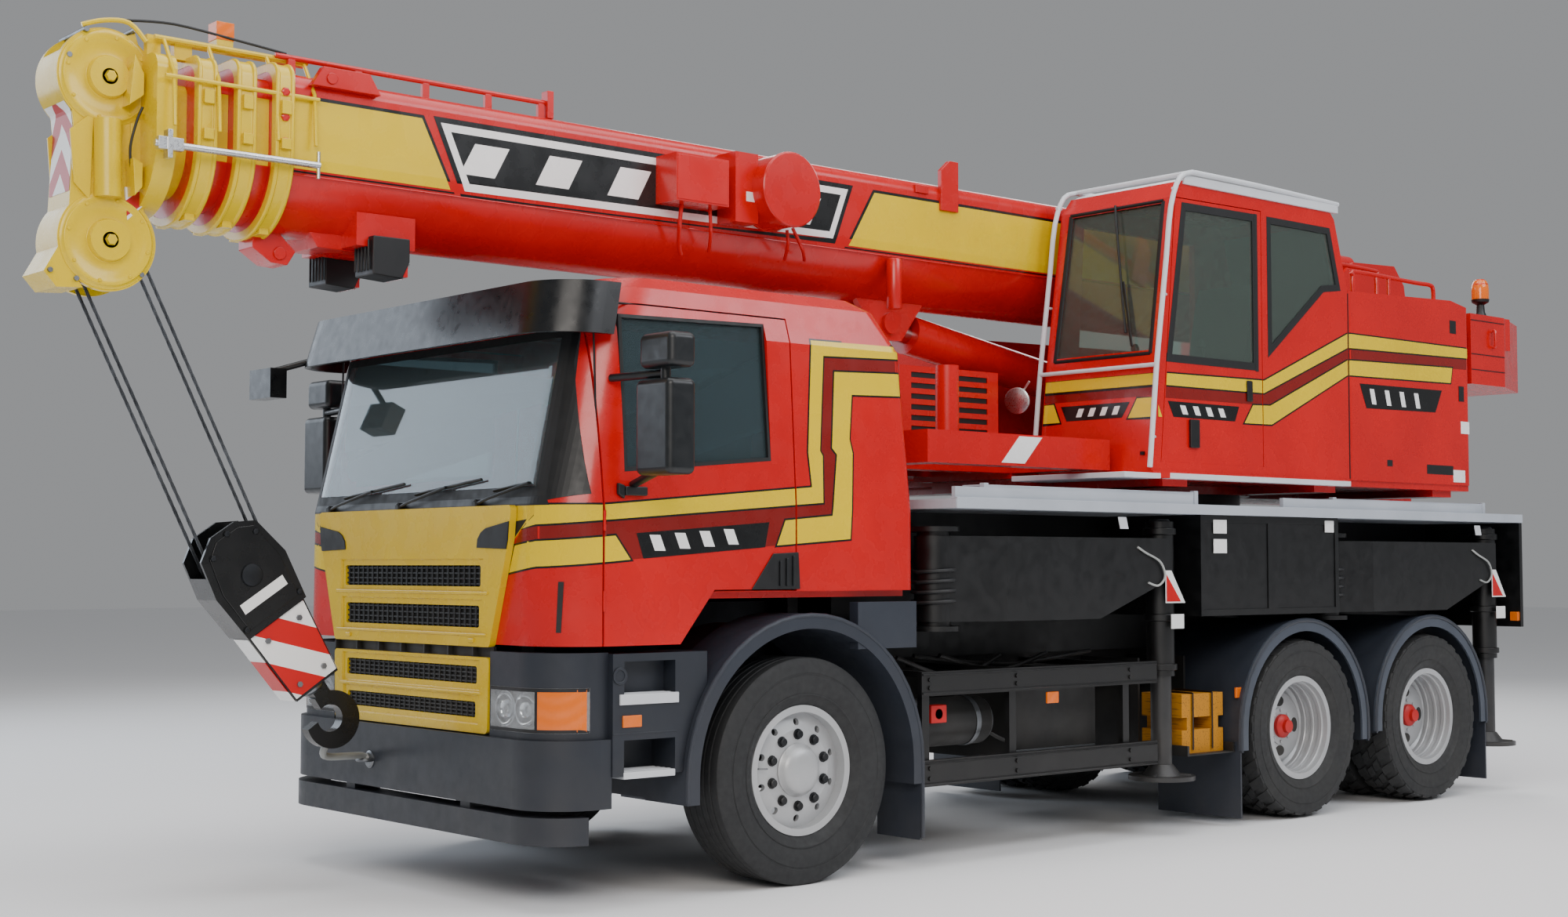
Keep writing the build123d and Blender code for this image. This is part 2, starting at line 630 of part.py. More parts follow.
with BuildPart() as interior:
    profile([(ahead(1330), cab_floor + fit), (ahead(1330), 1700), (ahead(1240), 1745),
             (ahead(1010), 1720), (ahead(940), 1640), (ahead(1010), 1560), (ahead(1080), cab_floor + fit)],
            (-980, 980))
    rod((ahead(1000), 520, 1578), (ahead(785), 520, 1806), 28)
    wheel_plane = Plane(origin=(ahead(790), 520, 1800), z_dir=(-0.62, 0, 0.78))
    with BuildSketch(wheel_plane):
        Circle(225)
        Circle(197, mode=Mode.SUBTRACT)
        Rectangle(400, 34)
        Circle(55)
    extrude(amount=26)
    # two seats
    for y in (-540, 540):
        with BuildSketch(side_plane(y + 240)):
            Polygon((ahead(180), cab_floor + fit), (ahead(420), cab_floor + fit), (ahead(420), 1640),
                    (ahead(560), 1660), (ahead(560), 1770), (ahead(140), 1750), (ahead(30), 2300),
                    (ahead(-20), 2420), (ahead(-80), 2410), (ahead(-40), 2290), (ahead(20), 1650),
                    (ahead(180), 1630), align=None)
        extrude(amount=480)
write(interior, "cab_interior")

# ---- grille, lamps, bumper and visor -----------------------------------------
grille_depth = 32
grille_half_top = 872
grille_half_low = 702
upper_bottom = 1128
upper_top = 1755
lower_bottom = 745
lower_top = 1082
bumper_front = 1450
bumper_top = 738
bumper_bottom = 440
lamp_low = 768
lamp_high = 962
lamp_inner_y = 712
corner_top = 1112
corner_half = 1205

with BuildPart() as grille:
    with BuildSketch(Plane.YZ.offset(ahead(cab_front))):
        Polygon((-grille_half_top, upper_top), (grille_half_top, upper_top), (grille_half_top - 20, 1600),
                (grille_half_low, upper_bottom), (-grille_half_low, upper_bottom),
                (-grille_half_top + 20, 1600), align=None)
        fillet(vertices(), 22)
    extrude(amount=grille_depth)
    with BuildSketch(Plane.YZ.offset(ahead(cab_front))):
        Polygon((-grille_half_low, lower_top), (grille_half_low, lower_top),
                (grille_half_low - 12, lower_bottom), (-grille_half_low + 12, lower_bottom), align=None)
        fillet(vertices(), 22)
    extrude(amount=grille_depth)
    # slots: (low edge, height, half width)
    for low, height, half in ((1395, 96, 615), (1212, 98, 605), (962, 78, 590), (812, 70, 580)):
        with BuildSketch(Plane.YZ.offset(ahead(cab_front + grille_depth))):
            with Locations((0, low + height / 2)):
                Rectangle(2 * half + 70, height + 60)
        extrude(amount=-9, taper=30, mode=Mode.SUBTRACT)
        with BuildSketch(Plane.YZ.offset(ahead(cab_front + grille_depth))):
            with Locations((0, low + height / 2)):
                RectangleRounded(2 * half, height, 12)
        extrude(amount=-grille_depth + 5, mode=Mode.SUBTRACT)
write(grille, "grille")


def front_outline(inset, rear):
    """Plan of the bumper: square at the rear, round at the front corners."""
    with Locations((ahead((bumper_front - inset + rear) / 2), 0)):
        Rectangle(bumper_front - inset - rear, 2 * (corner_half - inset))
    fillet(vertices().group_by(Axis.X)[-1], 270 - inset)


def front_wall(inset, wall, rear, heights):
    """Upright wall following the bumper's plan between two heights."""
    with BuildSketch(Plane.XY.offset(heights[0])) as outside:
        front_outline(inset, rear)
    with BuildSketch(Plane.XY.offset(heights[0])) as inside:
        front_outline(inset + wall, rear - 20)
    extrude(outside.sketch - inside.sketch, amount=heights[1] - heights[0])


with BuildPart() as bumper:
    front_wall(0, 60, 1120, (bumper_bottom, bumper_top))
    front_wall(28, 40, 1120, (bumper_top, corner_top))
    for side in (-1, 1):
        block((ahead(1215), ahead(1500)), (side * lamp_inner_y, side * 1300), (lamp_low, lamp_high),
              Mode.SUBTRACT)
    block((ahead(cab_front - 60), ahead(1500)), (-grille_half_low - 3, grille_half_low + 3),
          (bumper_top, corner_top + 1), Mode.SUBTRACT)
    # backing of the lower grille and lamps, and the bolster on the rail ends
    block((ahead(cab_front - 60), ahead(cab_front)), (-grille_half_low, grille_half_low),
          (bumper_top - 60, lower_top))
    block((ahead(cab_front - 100), ahead(cab_front - 60)), (-1000, 1000), (bumper_top - 60, corner_top))
    block((ahead(rail_front), ahead(cab_front - 60)), (-rail_outer_y, rail_outer_y),
          (bumper_top - 60, rail_top - 20))
    # underrun bar on two stays
    front_wall(-8, 130, 1100, (292, 412))
    block((ahead(1000), ahead(1240)), (-1300, 1300), (291, 413), Mode.SUBTRACT)
    for side in (-1, 1):
        block((ahead(1290), ahead(1430)), (side * 480, side * 560), (400, bumper_bottom + 20))
        block((ahead(1290), ahead(1430)), (side * 480, side * 560), (bumper_bottom, bumper_bottom + 240))
    # steps up to the doors, cut clear of the wheel arch
    for side in (-1, 1):
        profile([(ahead(1121), 575), (ahead(1121), corner_top - 6), (ahead(600), corner_top - 6),
                 (ahead(600), 575)], (side * 980, side * 1212))
        block((ahead(780), ahead(1060)), (side * 1040, side * 1240), (590, 730), Mode.SUBTRACT)
        block((ahead(780), ahead(1060)), (side * 1040, side * 1240), (925, corner_top - 40),
              Mode.SUBTRACT)
    cross_pin(ahead(0), wheel_z, front_arch_outer + 2, (-1300, 1300), Mode.SUBTRACT)
write(bumper, "bumper")

with BuildPart() as headlamps:
    front_wall(28, 55, 1120, (lamp_low + fit, lamp_high - fit))
    block((ahead(1000), ahead(1500)), (-lamp_inner_y - fit, lamp_inner_y + fit),
          (lamp_low - 5, lamp_high + 5), Mode.SUBTRACT)
    block((ahead(1000), ahead(1215 + fit)), (-1300, 1300), (lamp_low - 5, lamp_high + 5), Mode.SUBTRACT)
write(headlamps, "headlamps")

visor_low = 2500
visor_high = 2735
with BuildPart() as visor:
    with BuildSketch(Plane.XY.offset(visor_low)):
        with Locations((ahead(1285), 0)):
            Rectangle(330, 2 * 1208)
        fillet(vertices().group_by(Axis.X)[-1], 260)
    with BuildSketch(Plane.XY.offset(visor_high)):
        with Locations((ahead(1225), 0)):
            Rectangle(330, 2 * 1180)
        fillet(vertices().group_by(Axis.X)[-1], 260)
    loft(ruled=True)
    with BuildSketch(Plane.XY.offset(visor_low - 1)):
        with Locations((ahead(1210), 0)):
            Rectangle(420, 2 * 1178)
        fillet(vertices().group_by(Axis.X)[-1], 240)
    with BuildSketch(Plane.XY.offset(visor_high - 30)):
        with Locations((ahead(1150), 0)):
            Rectangle(420, 2 * 1150)
        fillet(vertices().group_by(Axis.X)[-1], 240)
    loft(ruled=True, mode=Mode.SUBTRACT)
    # cap over to the roof, seated on the cab
    block((ahead(1060), ahead(1150)), (-1000, 1000), (visor_high - 60, visor_high))
    add(cab_solid.part, mode=Mode.SUBTRACT)
    # kerb mirror on its arm at the right-hand end
    rod((ahead(1380), -1050, visor_low + 40), (ahead(1560), -1120, visor_low - 20), 16)
    with Locations((ahead(1590), -1130, visor_low - 90)):
        Box(90, 230, 150)
write(visor, "sun_visor")

mirror_y = 1500
with BuildPart() as door_mirror:
    with Locations((ahead(1060), mirror_y, 2080)):
        Box(150, 250, 410)
    with Locations((ahead(1050), mirror_y, 2408)):
        Box(140, 235, 150)
    fillet(edges(), 30)
    rod((ahead(1060), mirror_y, 2270), (ahead(1060), mirror_y, 2350), 22)
    rod((ahead(1120), 1100, 2310), (ahead(1060), mirror_y, 2310), 18)
    rod((ahead(1010), 1150, 1830), (ahead(1050), mirror_y - 60, 1895), 18)
    add(door.part, mode=Mode.SUBTRACT)
    block((ahead(900), ahead(1300)), (900, 1176), (1700, 2400), Mode.SUBTRACT)
write_pair(door_mirror, "mirror")

# ---- superstructure ------------------------------------------------------------
table_top = slew_top + table_thickness
cheek_inner_y = 336
cheek_thickness = 34
pivot_pin_radius = 60
cylinder_pin_radius = 45
sill_thickness = 38
arm_top = crane_cab_bottom - sill_thickness - fit
weight_low = 2695
weight_high = 3165
weight_front = 5885
winch_x = -6150
winch_z = 2500

with BuildPart() as turntable:
    with Locations((ahead(slew_x), 0, slew_top)):
        Cylinder(slew_ring_radius + 60, arm_top - slew_top, align=(Align.CENTER, Align.CENTER, Align.MIN))
    block((ahead(-6420), ahead(-2440)), (-400, 400), (slew_top, table_top))
    # cross arms under the cab and the housings
    for x in (-2760, -4200, -5500):
        block((ahead(x - 110), ahead(x + 110)), (-1200, 1200), (slew_top + 8, arm_top))
    # front platform, an open frame
    block((ahead(-2440), ahead(-1010)), (-1050, 1000), (2020, 2190))
    block((ahead(-2280), ahead(-1170)), (-900, 850), (2000, 2200), Mode.SUBTRACT)
    block((ahead(-2900), ahead(-2280)), (-400, 400), (table_top - 10, 2190))
    block((ahead(-2290), ahead(-1160)), (-400, -250), (2020, 2190))
    block((ahead(-2290), ahead(-1160)), (250, 400), (2020, 2190))
    rod((ahead(-1275), 880, 2185), (ahead(-1275), 880, 2540), 62)
    # cheeks up to the boom foot pin
    for side in (-1, 1):
        near = (side * cheek_inner_y, side * (cheek_inner_y + cheek_thickness))
        profile([(ahead(-6470), slew_top), (ahead(-4300), slew_top), (ahead(-4300), 2080),
                 (ahead(-4800), 2500), (ahead(-5560), 3420), (ahead(-5800), 3590), (ahead(-6300), 3610),
                 (ahead(-6420), 3480), (ahead(-6470), 3200)], near)
        block((ahead(-6440), ahead(-6120)), (side * cheek_inner_y, side * 760),
              (weight_low - 80, weight_low - fit))
        # lugs of the luffing cylinder
        profile([(ahead(cylinder_low_x - 190), table_top - 5), (ahead(cylinder_low_x + 190), table_top - 5),
                 (ahead(cylinder_low_x + 90), cylinder_low_z + 80),
                 (ahead(cylinder_low_x - 90), cylinder_low_z + 80)],
                (side * (barrel_eye_half + 6), side * (barrel_eye_half + 50)))
    cross_pin(ahead(pivot_x), pivot_z, pivot_pin_radius,
              (-cheek_inner_y - cheek_thickness - 25, cheek_inner_y + cheek_thickness + 25))
    cross_pin(ahead(cylinder_low_x), cylinder_low_z, cylinder_pin_radius,
              (-barrel_eye_half - 70, barrel_eye_half + 70))
    cross_pin(ahead(winch_x), winch_z, 50, (-cheek_inner_y, cheek_inner_y))

    # oil cooler on the platform, with louvres to the front and the side
    block((ahead(-2240), ahead(-1450)), (-860, 340), (2180, 2600))
    for row in range(6):
        block((ahead(-2150), ahead(-1540)), (330, 341), (2235 + row * 60, 2265 + row * 60), Mode.SUBTRACT)
        block((ahead(-1462), ahead(-1449)), (-780, 260), (2235 + row * 60, 2265 + row * 60), Mode.SUBTRACT)
write(turntable, "turntable")

with BuildPart() as winch:
    cross_pin(ahead(winch_x), winch_z, 150, (-cheek_inner_y + 26, cheek_inner_y - 26))
    for y in (-cheek_inner_y + 26, cheek_inner_y - 50):
        cross_pin(ahead(winch_x), winch_z, 215, (y, y + 24))
    cross_pin(ahead(winch_x), winch_z, 50 + fit, (-cheek_inner_y, cheek_inner_y), Mode.SUBTRACT)
write(winch, "hoist_winch")

# ---- crane cab -------------------------------------------------------------------
# side outline, front bottom first
cab_side = [(-2489, crane_cab_bottom), (-2560, 2630), (-2705, 3560), (-2790, 3660), (-4190, 3672),
            (-4262, 3600), (-4390, 3180), (-4388, crane_cab_bottom)]
cab_side_inner = [(-2535, crane_cab_bottom + 40), (-2604, 2630), (-2750, 3556), (-2810, 3618),
                  (-4165, 3630), (-4222, 3580), (-4346, 3175), (-4344, crane_cab_bottom + 40)]
front_window = [(-2650, 2640), (-2795, 3520), (-3462, 3528), (-3462, 2640)]
rear_window = [(-3590, 2740), (-3590, 3528), (-4200, 3528), (-4300, 3182), (-4135, 3160)]
crane_door_rear = -3520
crane_door_front = -2575
crane_door_low = 2065
housing_wall = 60


def along(points):
    return [(ahead(x), z) for x, z in points]


with BuildPart() as crane_cab:
    profile(along(cab_side), (crane_cab_inner_y, crane_cab_outer_y))
    profile(along(cab_side_inner), (crane_cab_inner_y + crane_cab_wall, crane_cab_outer_y - crane_cab_wall),
            Mode.SUBTRACT)
    profile(along(rear_window), (crane_cab_outer_y - 60, crane_cab_outer_y + 10), Mode.SUBTRACT)
    profile(along([(-2800, 2700), (-2860, 3500), (-3900, 3500), (-3900, 2700)]),
            (crane_cab_inner_y - 10, crane_cab_inner_y + 60), Mode.SUBTRACT)
    # windscreen and rear openings
    with BuildSketch(Plane.YZ.offset(ahead(-2860))):
        Polygon((crane_cab_inner_y + 70, 2690), (crane_cab_outer_y - 70, 2690),
                (crane_cab_outer_y - 75, 3530), (crane_cab_inner_y + 85, 3530), align=None)
    extrude(amount=500, mode=Mode.SUBTRACT)
    profile(along([(crane_door_front, crane_door_low - fit), (-2795 + 75, 3560), (crane_door_rear, 3570),
                   (crane_door_rear, crane_door_low - fit)]),
            (crane_cab_outer_y - 60, crane_cab_outer_y + 10), Mode.SUBTRACT)
    # walkway sill below, standing out a little
    block((ahead(-4385), ahead(-2490)), (460, crane_cab_outer_y + 12),
          (crane_cab_bottom - sill_thickness, crane_cab_bottom + 1))
write(crane_cab, "crane_cab")

with BuildPart() as crane_door:
    profile(along([(crane_door_front - 5, crane_door_low), (-2725, 3555), (crane_door_rear + 5, 3565),
                   (crane_door_rear + 5, crane_door_low)]),
            (crane_cab_outer_y - crane_cab_wall, crane_cab_outer_y))
    profile(along(front_window), (crane_cab_outer_y - 60, crane_cab_outer_y + 10), Mode.SUBTRACT)
write(crane_door, "crane_cab_door")

with BuildPart() as operator_seat:
    profile(along([(-3500, crane_cab_bottom + 40 + fit), (-3300, crane_cab_bottom + 40 + fit),
                   (-3300, 2400), (-3160, 2420), (-3160, 2530), (-3560, 2520), (-3680, 3080),
                   (-3720, 3180), (-3780, 3170), (-3740, 3060), (-3650, 2420), (-3500, 2400)]),
            (640, 1060))
write(operator_seat, "operator_seat")

with BuildPart() as housing:
    profile(along([(-4396, crane_cab_bottom), (-4396, 3175), (-5560, 3215), (-5772, 3180),
                   (-5772, crane_cab_bottom)]), (crane_cab_inner_y, crane_cab_outer_y))
    profile(along([(-2520, crane_cab_bottom), (-2520, 2700), (-2680, 2900), (-5700, 2960),
                   (-5772, 2900), (-5772, crane_cab_bottom)]), (-crane_cab_outer_y, -crane_cab_inner_y))
    fillet(edges().filter_by(Axis.Z), 30)
    for y, front, high in ((1, -4396, 3170), (-1, -2560, 2690)):
        block((ahead(front - housing_wall), ahead(-5772 + housing_wall)),
              (y * (crane_cab_inner_y + housing_wall), y * (crane_cab_outer_y - housing_wall)),
              (crane_cab_bottom + housing_wall, high - housing_wall), Mode.SUBTRACT)
    # shallow doors along the right side, the last one with louvres
    right_face = -crane_cab_outer_y
    for middle in (-3060, -4070, -5080):
        block((ahead(middle - 440), ahead(middle + 440)), (right_face - 5, right_face + 6), (2110, 2640),
              Mode.SUBTRACT)
    for row in range(7):
        block((ahead(-5440), ahead(-4720)), (right_face - 5, right_face + 20),
              (2180 + row * 60, 2206 + row * 60), Mode.SUBTRACT)
    # sills that rest on the cross arms
    for side, front in ((1, -4410), (-1, -2540)):
        block((ahead(-5760), ahead(front)), (side * 460, side * (crane_cab_outer_y - 12)),
              (crane_cab_bottom - sill_thickness, crane_cab_bottom + 1))
write(housing, "engine_housing")

with BuildPart() as counterweight:
    with BuildSketch(Plane.XY.offset(weight_low)):
        Polygon((ahead(-weight_front), -1200), (ahead(-6310), -1200), (ahead(-tail_reach), -1010),
                (ahead(-tail_reach), 1010), (ahead(-6310), 1200), (ahead(-weight_front), 1200),
                (ahead(-weight_front), 400), (ahead(-6560), 400), (ahead(-6560), -400),
                (ahead(-weight_front), -400), align=None)
    extrude(amount=weight_high - weight_low)
    # beacon on its stem
    with BuildSketch(Plane.XZ.offset(-1010)):
        with BuildLine():
            Polyline((ahead(-6340), weight_high - 1), (ahead(-6300), weight_high - 1),
                     (ahead(-6300), weight_high + 20),
                     (ahead(-6325), weight_high + 25), (ahead(-6325), weight_high + 130),
                     (ahead(-6285), weight_high + 140), (ahead(-6285), weight_high + 250),
                     (ahead(-6310), weight_high + 285), (ahead(-6340), weight_high + 290),
                     (ahead(-6340), weight_high - 1))
        make_face()
    revolve(axis=Axis((ahead(-6340), 1010, 0), (0, 0, 1)))
write(counterweight, "counterweight")

# ---- luffing cylinder --------------------------------------------------------------
cylinder_angle = atan2(cylinder_eye_z - cylinder_low_z, cylinder_eye_x - cylinder_low_x)
cylinder_length = hypot(cylinder_eye_z - cylinder_low_z, cylinder_eye_x - cylinder_low_x)
barrel_top = cylinder_length - 230
bore_radius = cylinder_radius - 16


def cylinder_point(distance):
    """A place on the cylinder's axis, measured from its lower pin."""
    return (ahead(cylinder_low_x + distance * cos(cylinder_angle)), 0,
            cylinder_low_z + distance * sin(cylinder_angle))


with BuildPart() as barrel:
    rod(cylinder_point(80), cylinder_point(barrel_top), cylinder_radius)
    rod(cylinder_point(170), cylinder_point(barrel_top - 60), bore_radius, Mode.SUBTRACT)
    rod(cylinder_point(barrel_top - 61), cylinder_point(barrel_top + 1), rod_radius + fit, Mode.SUBTRACT)
    cross_pin(ahead(cylinder_low_x), cylinder_low_z, 100, (-barrel_eye_half, barrel_eye_half))
    cross_pin(ahead(cylinder_low_x), cylinder_low_z, cylinder_pin_radius + fit,
              (-barrel_eye_half - 1, barrel_eye_half + 1), Mode.SUBTRACT)
write(barrel, "luff_barrel")

with BuildPart() as piston_rod:
    rod(cylinder_point(240), cylinder_point(cylinder_length - 60), rod_radius)
    rod(cylinder_point(200), cylinder_point(300), bore_radius - fit)
    cross_pin(ahead(cylinder_eye_x), cylinder_eye_z, 98, (-eye_half_width, eye_half_width))
write(piston_rod, "luff_rod")

# ---- boom ----------------------------------------------------------------------------
collar_grow = 24


def boom_outline(half, rise):
    """Round belly, upright sides and flat top with rounded corners."""
    with Locations((0, boom_axis_z)):
        Circle(half)
    with Locations((0, boom_axis_z + rise / 2)):
        Rectangle(2 * half, rise)
    fillet(vertices().group_by(Axis.Y)[-1], min(70, half / 4))


def boom_tube(x, half, rise, mode=Mode.ADD):
    """Length of boom profile between two places along the boom."""
    with BuildSketch(Plane.YZ.offset(ahead(x[0]))) as boom_face:
        boom_outline(half, rise)
    extrude(boom_face.sketch, amount=x[1] - x[0], mode=mode)


def section_sizes(number):
    """Half width and rise of a section; 0 is the base."""
    return boom_half_width - number * boom_step, boom_rise - number * boom_step


def section_front(number):
    return boom_front + number * (collar_length + 85)


with BuildPart() as boom_base:
    half, rise = section_sizes(0)
    boom_tube((boom_tail, boom_front), half, rise)
    boom_tube((boom_front - collar_length, boom_front), half + collar_grow, rise + collar_grow)
    # foot plates and boss on the pin
    for side in (-1, 1):
        profile([(ahead(boom_tail + 150), boom_axis_z + rise - 60), (ahead(pivot_x), pivot_z + 140),
                 (ahead(pivot_x - 130), pivot_z + 60), (ahead(pivot_x - 130), pivot_z - 60),
                 (ahead(pivot_x), pivot_z - 140), (ahead(boom_tail + 150), boom_axis_z - 200)],
                (side * 215, side * half))
    cross_pin(ahead(pivot_x), pivot_z, 130, (-half, half))
    # clevis for the luffing cylinder's rod
    for side in (-1, 1):
        profile([(ahead(cylinder_eye_x + 330), boom_axis_z - 200),
                 (ahead(cylinder_eye_x + 90), cylinder_eye_z - 95),
                 (ahead(cylinder_eye_x - 90), cylinder_eye_z - 95),
                 (ahead(cylinder_eye_x - 330), boom_axis_z - 200)],
                (side * (eye_half_width + 6), side * (eye_half_width + 48)))
        cross_pin(ahead(cylinder_eye_x), cylinder_eye_z, 62,
                  (side * (eye_half_width + 6), side * (eye_half_width + 70)))
    # two work lights on a bracket under the belly
    block((ahead(1560), ahead(1860)), (-260, 260), (2930, 3080))
    for side in (-1, 1):
        block((ahead(1620), ahead(1790)), (side * 145, side * 300), (2800, 2965))
    # bore, closed at the tail, with a wear ring at the mouth
    boom_tube((boom_tail + 20, boom_front - collar_length), half - boom_wall, rise - boom_wall, Mode.SUBTRACT)
    inner_half, inner_rise = section_sizes(1)
    boom_tube((boom_front - collar_length - 1, boom_front + 1), inner_half + fit, inner_rise + fit,
              Mode.SUBTRACT)
    cross_pin(ahead(pivot_x), pivot_z, pivot_pin_radius + fit, (-half - 1, half + 1), Mode.SUBTRACT)
write(boom_base, "boom_base")

for number in (1, 2):
    half, rise = section_sizes(number)
    outer_half, outer_rise = section_sizes(number - 1)
    inner_half, inner_rise = section_sizes(number + 1)
    rear = boom_tail + 20 + number * section_rear_step
    front = section_front(number)
    with BuildPart() as section:
        boom_tube((rear, front), half, rise)
        boom_tube((front - collar_length, front), boom_half_width + collar_grow - 12 * number,
                  boom_rise + collar_grow - 12 * number)
        boom_tube((rear, rear + 70), outer_half - boom_wall - fit, outer_rise - boom_wall - fit)
        boom_tube((rear - 1, front - collar_length), half - boom_wall, rise - boom_wall, Mode.SUBTRACT)
        boom_tube((front - collar_length - 1, front + 1), inner_half + fit, inner_rise + fit, Mode.SUBTRACT)
    write(section, f"boom_section_{number}")

cheek_half = 118
head_cheek = 26
with BuildPart() as boom_tip:
    half, rise = section_sizes(3)
    outer_half, outer_rise = section_sizes(2)
    rear = boom_tail + 20 + 3 * section_rear_step
    front = section_front(3)
    boom_tube((rear, front), half, rise)
    boom_tube((rear, rear + 70), outer_half - boom_wall - fit, outer_rise - boom_wall - fit)
    boom_tube((rear - 1, front - 40), half - boom_wall, rise - boom_wall, Mode.SUBTRACT)
    boom_tube((front - collar_length, front), boom_half_width - 14, boom_rise - 4)
    # cheek plates carrying the sheaves
    with BuildSketch(side_plane(cheek_half)):
        Polygon((ahead(front - 20), 3560), (ahead(front - 20), boom_axis_z + rise + 60),
                (ahead(head_top_axle_x - 120), head_top_axle_z + 210),
                (ahead(head_top_axle_x + 170), head_top_axle_z + 70),
                (ahead(head_axle_x + 150), 3300), (ahead(head_axle_x + 170), head_axle_z),
                (ahead(head_axle_x - 170), head_axle_z), (ahead(front - 20), 3060), align=None)
        with Locations((ahead(head_top_axle_x), head_top_axle_z), (ahead(head_axle_x), head_axle_z)):
            Circle(212)
    extrude(amount=2 * cheek_half)
    with BuildSketch(side_plane(cheek_half - head_cheek)):
        with Locations((ahead(head_axle_x), head_axle_z), (ahead(head_top_axle_x), head_top_axle_z)):
            Circle(sheave_radius + 30)
        with Locations((ahead(head_axle_x - 110), head_axle_z - 220)):
            Rectangle(2 * (sheave_radius + 30), 460, rotation=-rope_tilt)
        with Locations((ahead(head_axle_x - 170), head_axle_z - 40)):
            Rectangle(340, 320)
        with Locations((ahead(head_top_axle_x + 20), head_top_axle_z + 200)):
            Rectangle(2 * (sheave_radius + 20), 400)
        with Locations((ahead(head_axle_x + 30), (head_axle_z + head_top_axle_z) / 2)):
            Rectangle(180, head_top_axle_z - head_axle_z)
    extrude(amount=2 * (cheek_half - head_cheek), mode=Mode.SUBTRACT)
    for x, z in ((head_axle_x, head_axle_z), (head_top_axle_x, head_top_axle_z)):
        cross_pin(ahead(x), z, 40, (-cheek_half, cheek_half))
        for side in (-1, 1):
            cross_pin(ahead(x), z, 85, (side * cheek_half, side * (cheek_half + 40)))
    # guard lip in front of the falls
    profile([(ahead(head_axle_x + 160), head_axle_z - 120), (ahead(head_axle_x + 100), head_axle_z - 205),
             (ahead(head_axle_x + 210), head_axle_z - 212), (ahead(head_reach), head_axle_z - 150),
             (ahead(head_axle_x + 205), head_axle_z - 40)], (-cheek_half, cheek_half))
    # rail over the collars, with the lamp's bracket
    block((ahead(2080), ahead(front)), (150, 186), (3715, 3740))
    block((ahead(front - 60), ahead(front)), (150, 186), (boom_axis_z + boom_rise - 20, 3740))
    block((ahead(2440), ahead(2516)), (130, 206), (3740, 3845))
    # side pole and its bracket
    rod((ahead(2120), 372, 3240), (ahead(front - 10), 372, 3240), 13)
    block((ahead(front - 60), ahead(front - 20)), (280, 385), (3222, 3258))
write(boom_tip, "boom_section_3")

with BuildPart() as sheaves:
    for x, z in ((head_axle_x, head_axle_z), (head_top_axle_x, head_top_axle_z)):
        for y in (-rope_y, rope_y):
            cross_pin(ahead(x), z, sheave_radius, (y - 20, y + 20))
            cross_pin(ahead(x), z, 40 + fit, (y - 21, y + 21), Mode.SUBTRACT)
write(sheaves, "head_sheaves")

with BuildPart() as cable_reel:
    cross_pin(ahead(-480), 3425, 190, (boom_half_width + 45, boom_half_width + 240))
    cross_pin(ahead(-480), 3425, 60, (boom_half_width, boom_half_width + 46))
    block((ahead(-330), ahead(-180)), (boom_half_width, boom_half_width + 150), (3240, 3600))
    block((ahead(-420), ahead(-320)), (boom_half_width + 60, boom_half_width + 140), (3390, 3460))
    block((ahead(-120), ahead(215)), (boom_half_width, boom_half_width + 170), (3300, 3540))
write(cable_reel, "cable_reel")


# ---- hook block, its hook and the falls ------------------------------------------------
hook_axle_x = head_axle_x - hook_drop * sin(radians(rope_tilt))
hook_axle_z = head_axle_z - hook_drop * cos(radians(rope_tilt))
lean = radians(block_tilt)


def block_plane(y):
    """Plane of constant Y in the leaning hook block; its second axis points up the block."""
    return Plane(origin=(ahead(hook_axle_x), y, hook_axle_z), x_dir=(cos(lean), 0, -sin(lean)),
                 z_dir=(0, -1, 0))


plate_half = 96
with BuildPart() as hook_block:
    with BuildSketch(block_plane(plate_half)):
        Polygon((-150, 190), (-60, 240), (70, 240), (165, 175), (195, 0), (165, -230), (-165, -230),
                (-195, 0), align=None)
    extrude(amount=2 * plate_half)
    with BuildSketch(block_plane(plate_half - 16)):
        Circle(sheave_radius + 28)
        with Locations((0, 200)):
            Rectangle(2 * sheave_radius + 56, 400)
    extrude(amount=2 * (plate_half - 16), mode=Mode.SUBTRACT)
    with BuildSketch(block_plane(80)):
        Polygon((-158, -229), (158, -229), (120, -600), (-120, -600), align=None)
    extrude(amount=160)
    with BuildSketch(block_plane(plate_half)):
        Circle(34)
    extrude(amount=2 * plate_half)
    for y in (-rope_y, rope_y):
        with BuildSketch(block_plane(y + 19)):
            Circle(sheave_radius)
        extrude(amount=38)
    # hook with its shank
    with BuildSketch(block_plane(32)):
        with Locations((0, -790)):
            Circle(132)
        with Locations((10, -775)):
            Circle(62, mode=Mode.SUBTRACT)
        with Locations((90, -690)):
            Rectangle(130, 130, mode=Mode.SUBTRACT)
        with Locations((-20, -640)):
            Rectangle(76, 120)
    extrude(amount=64)
write(hook_block, "hook_block")

with BuildPart() as falls:
    for side in (-1, 1):
        for offset in (-sheave_radius - rope_radius - fit, sheave_radius + rope_radius + fit):
            along_x = offset * cos(radians(rope_tilt))
            along_z = -offset * sin(radians(rope_tilt))
            top = (ahead(head_axle_x + along_x), side * rope_y, head_axle_z + along_z)
            low = (ahead(hook_axle_x + along_x), side * rope_y, hook_axle_z + along_z)
            rod(top, low, rope_radius)
write(falls, "hoist_ropes")
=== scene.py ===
import math
import bmesh
import bpy
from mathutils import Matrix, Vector
from mathutils.bvhtree import BVHTree


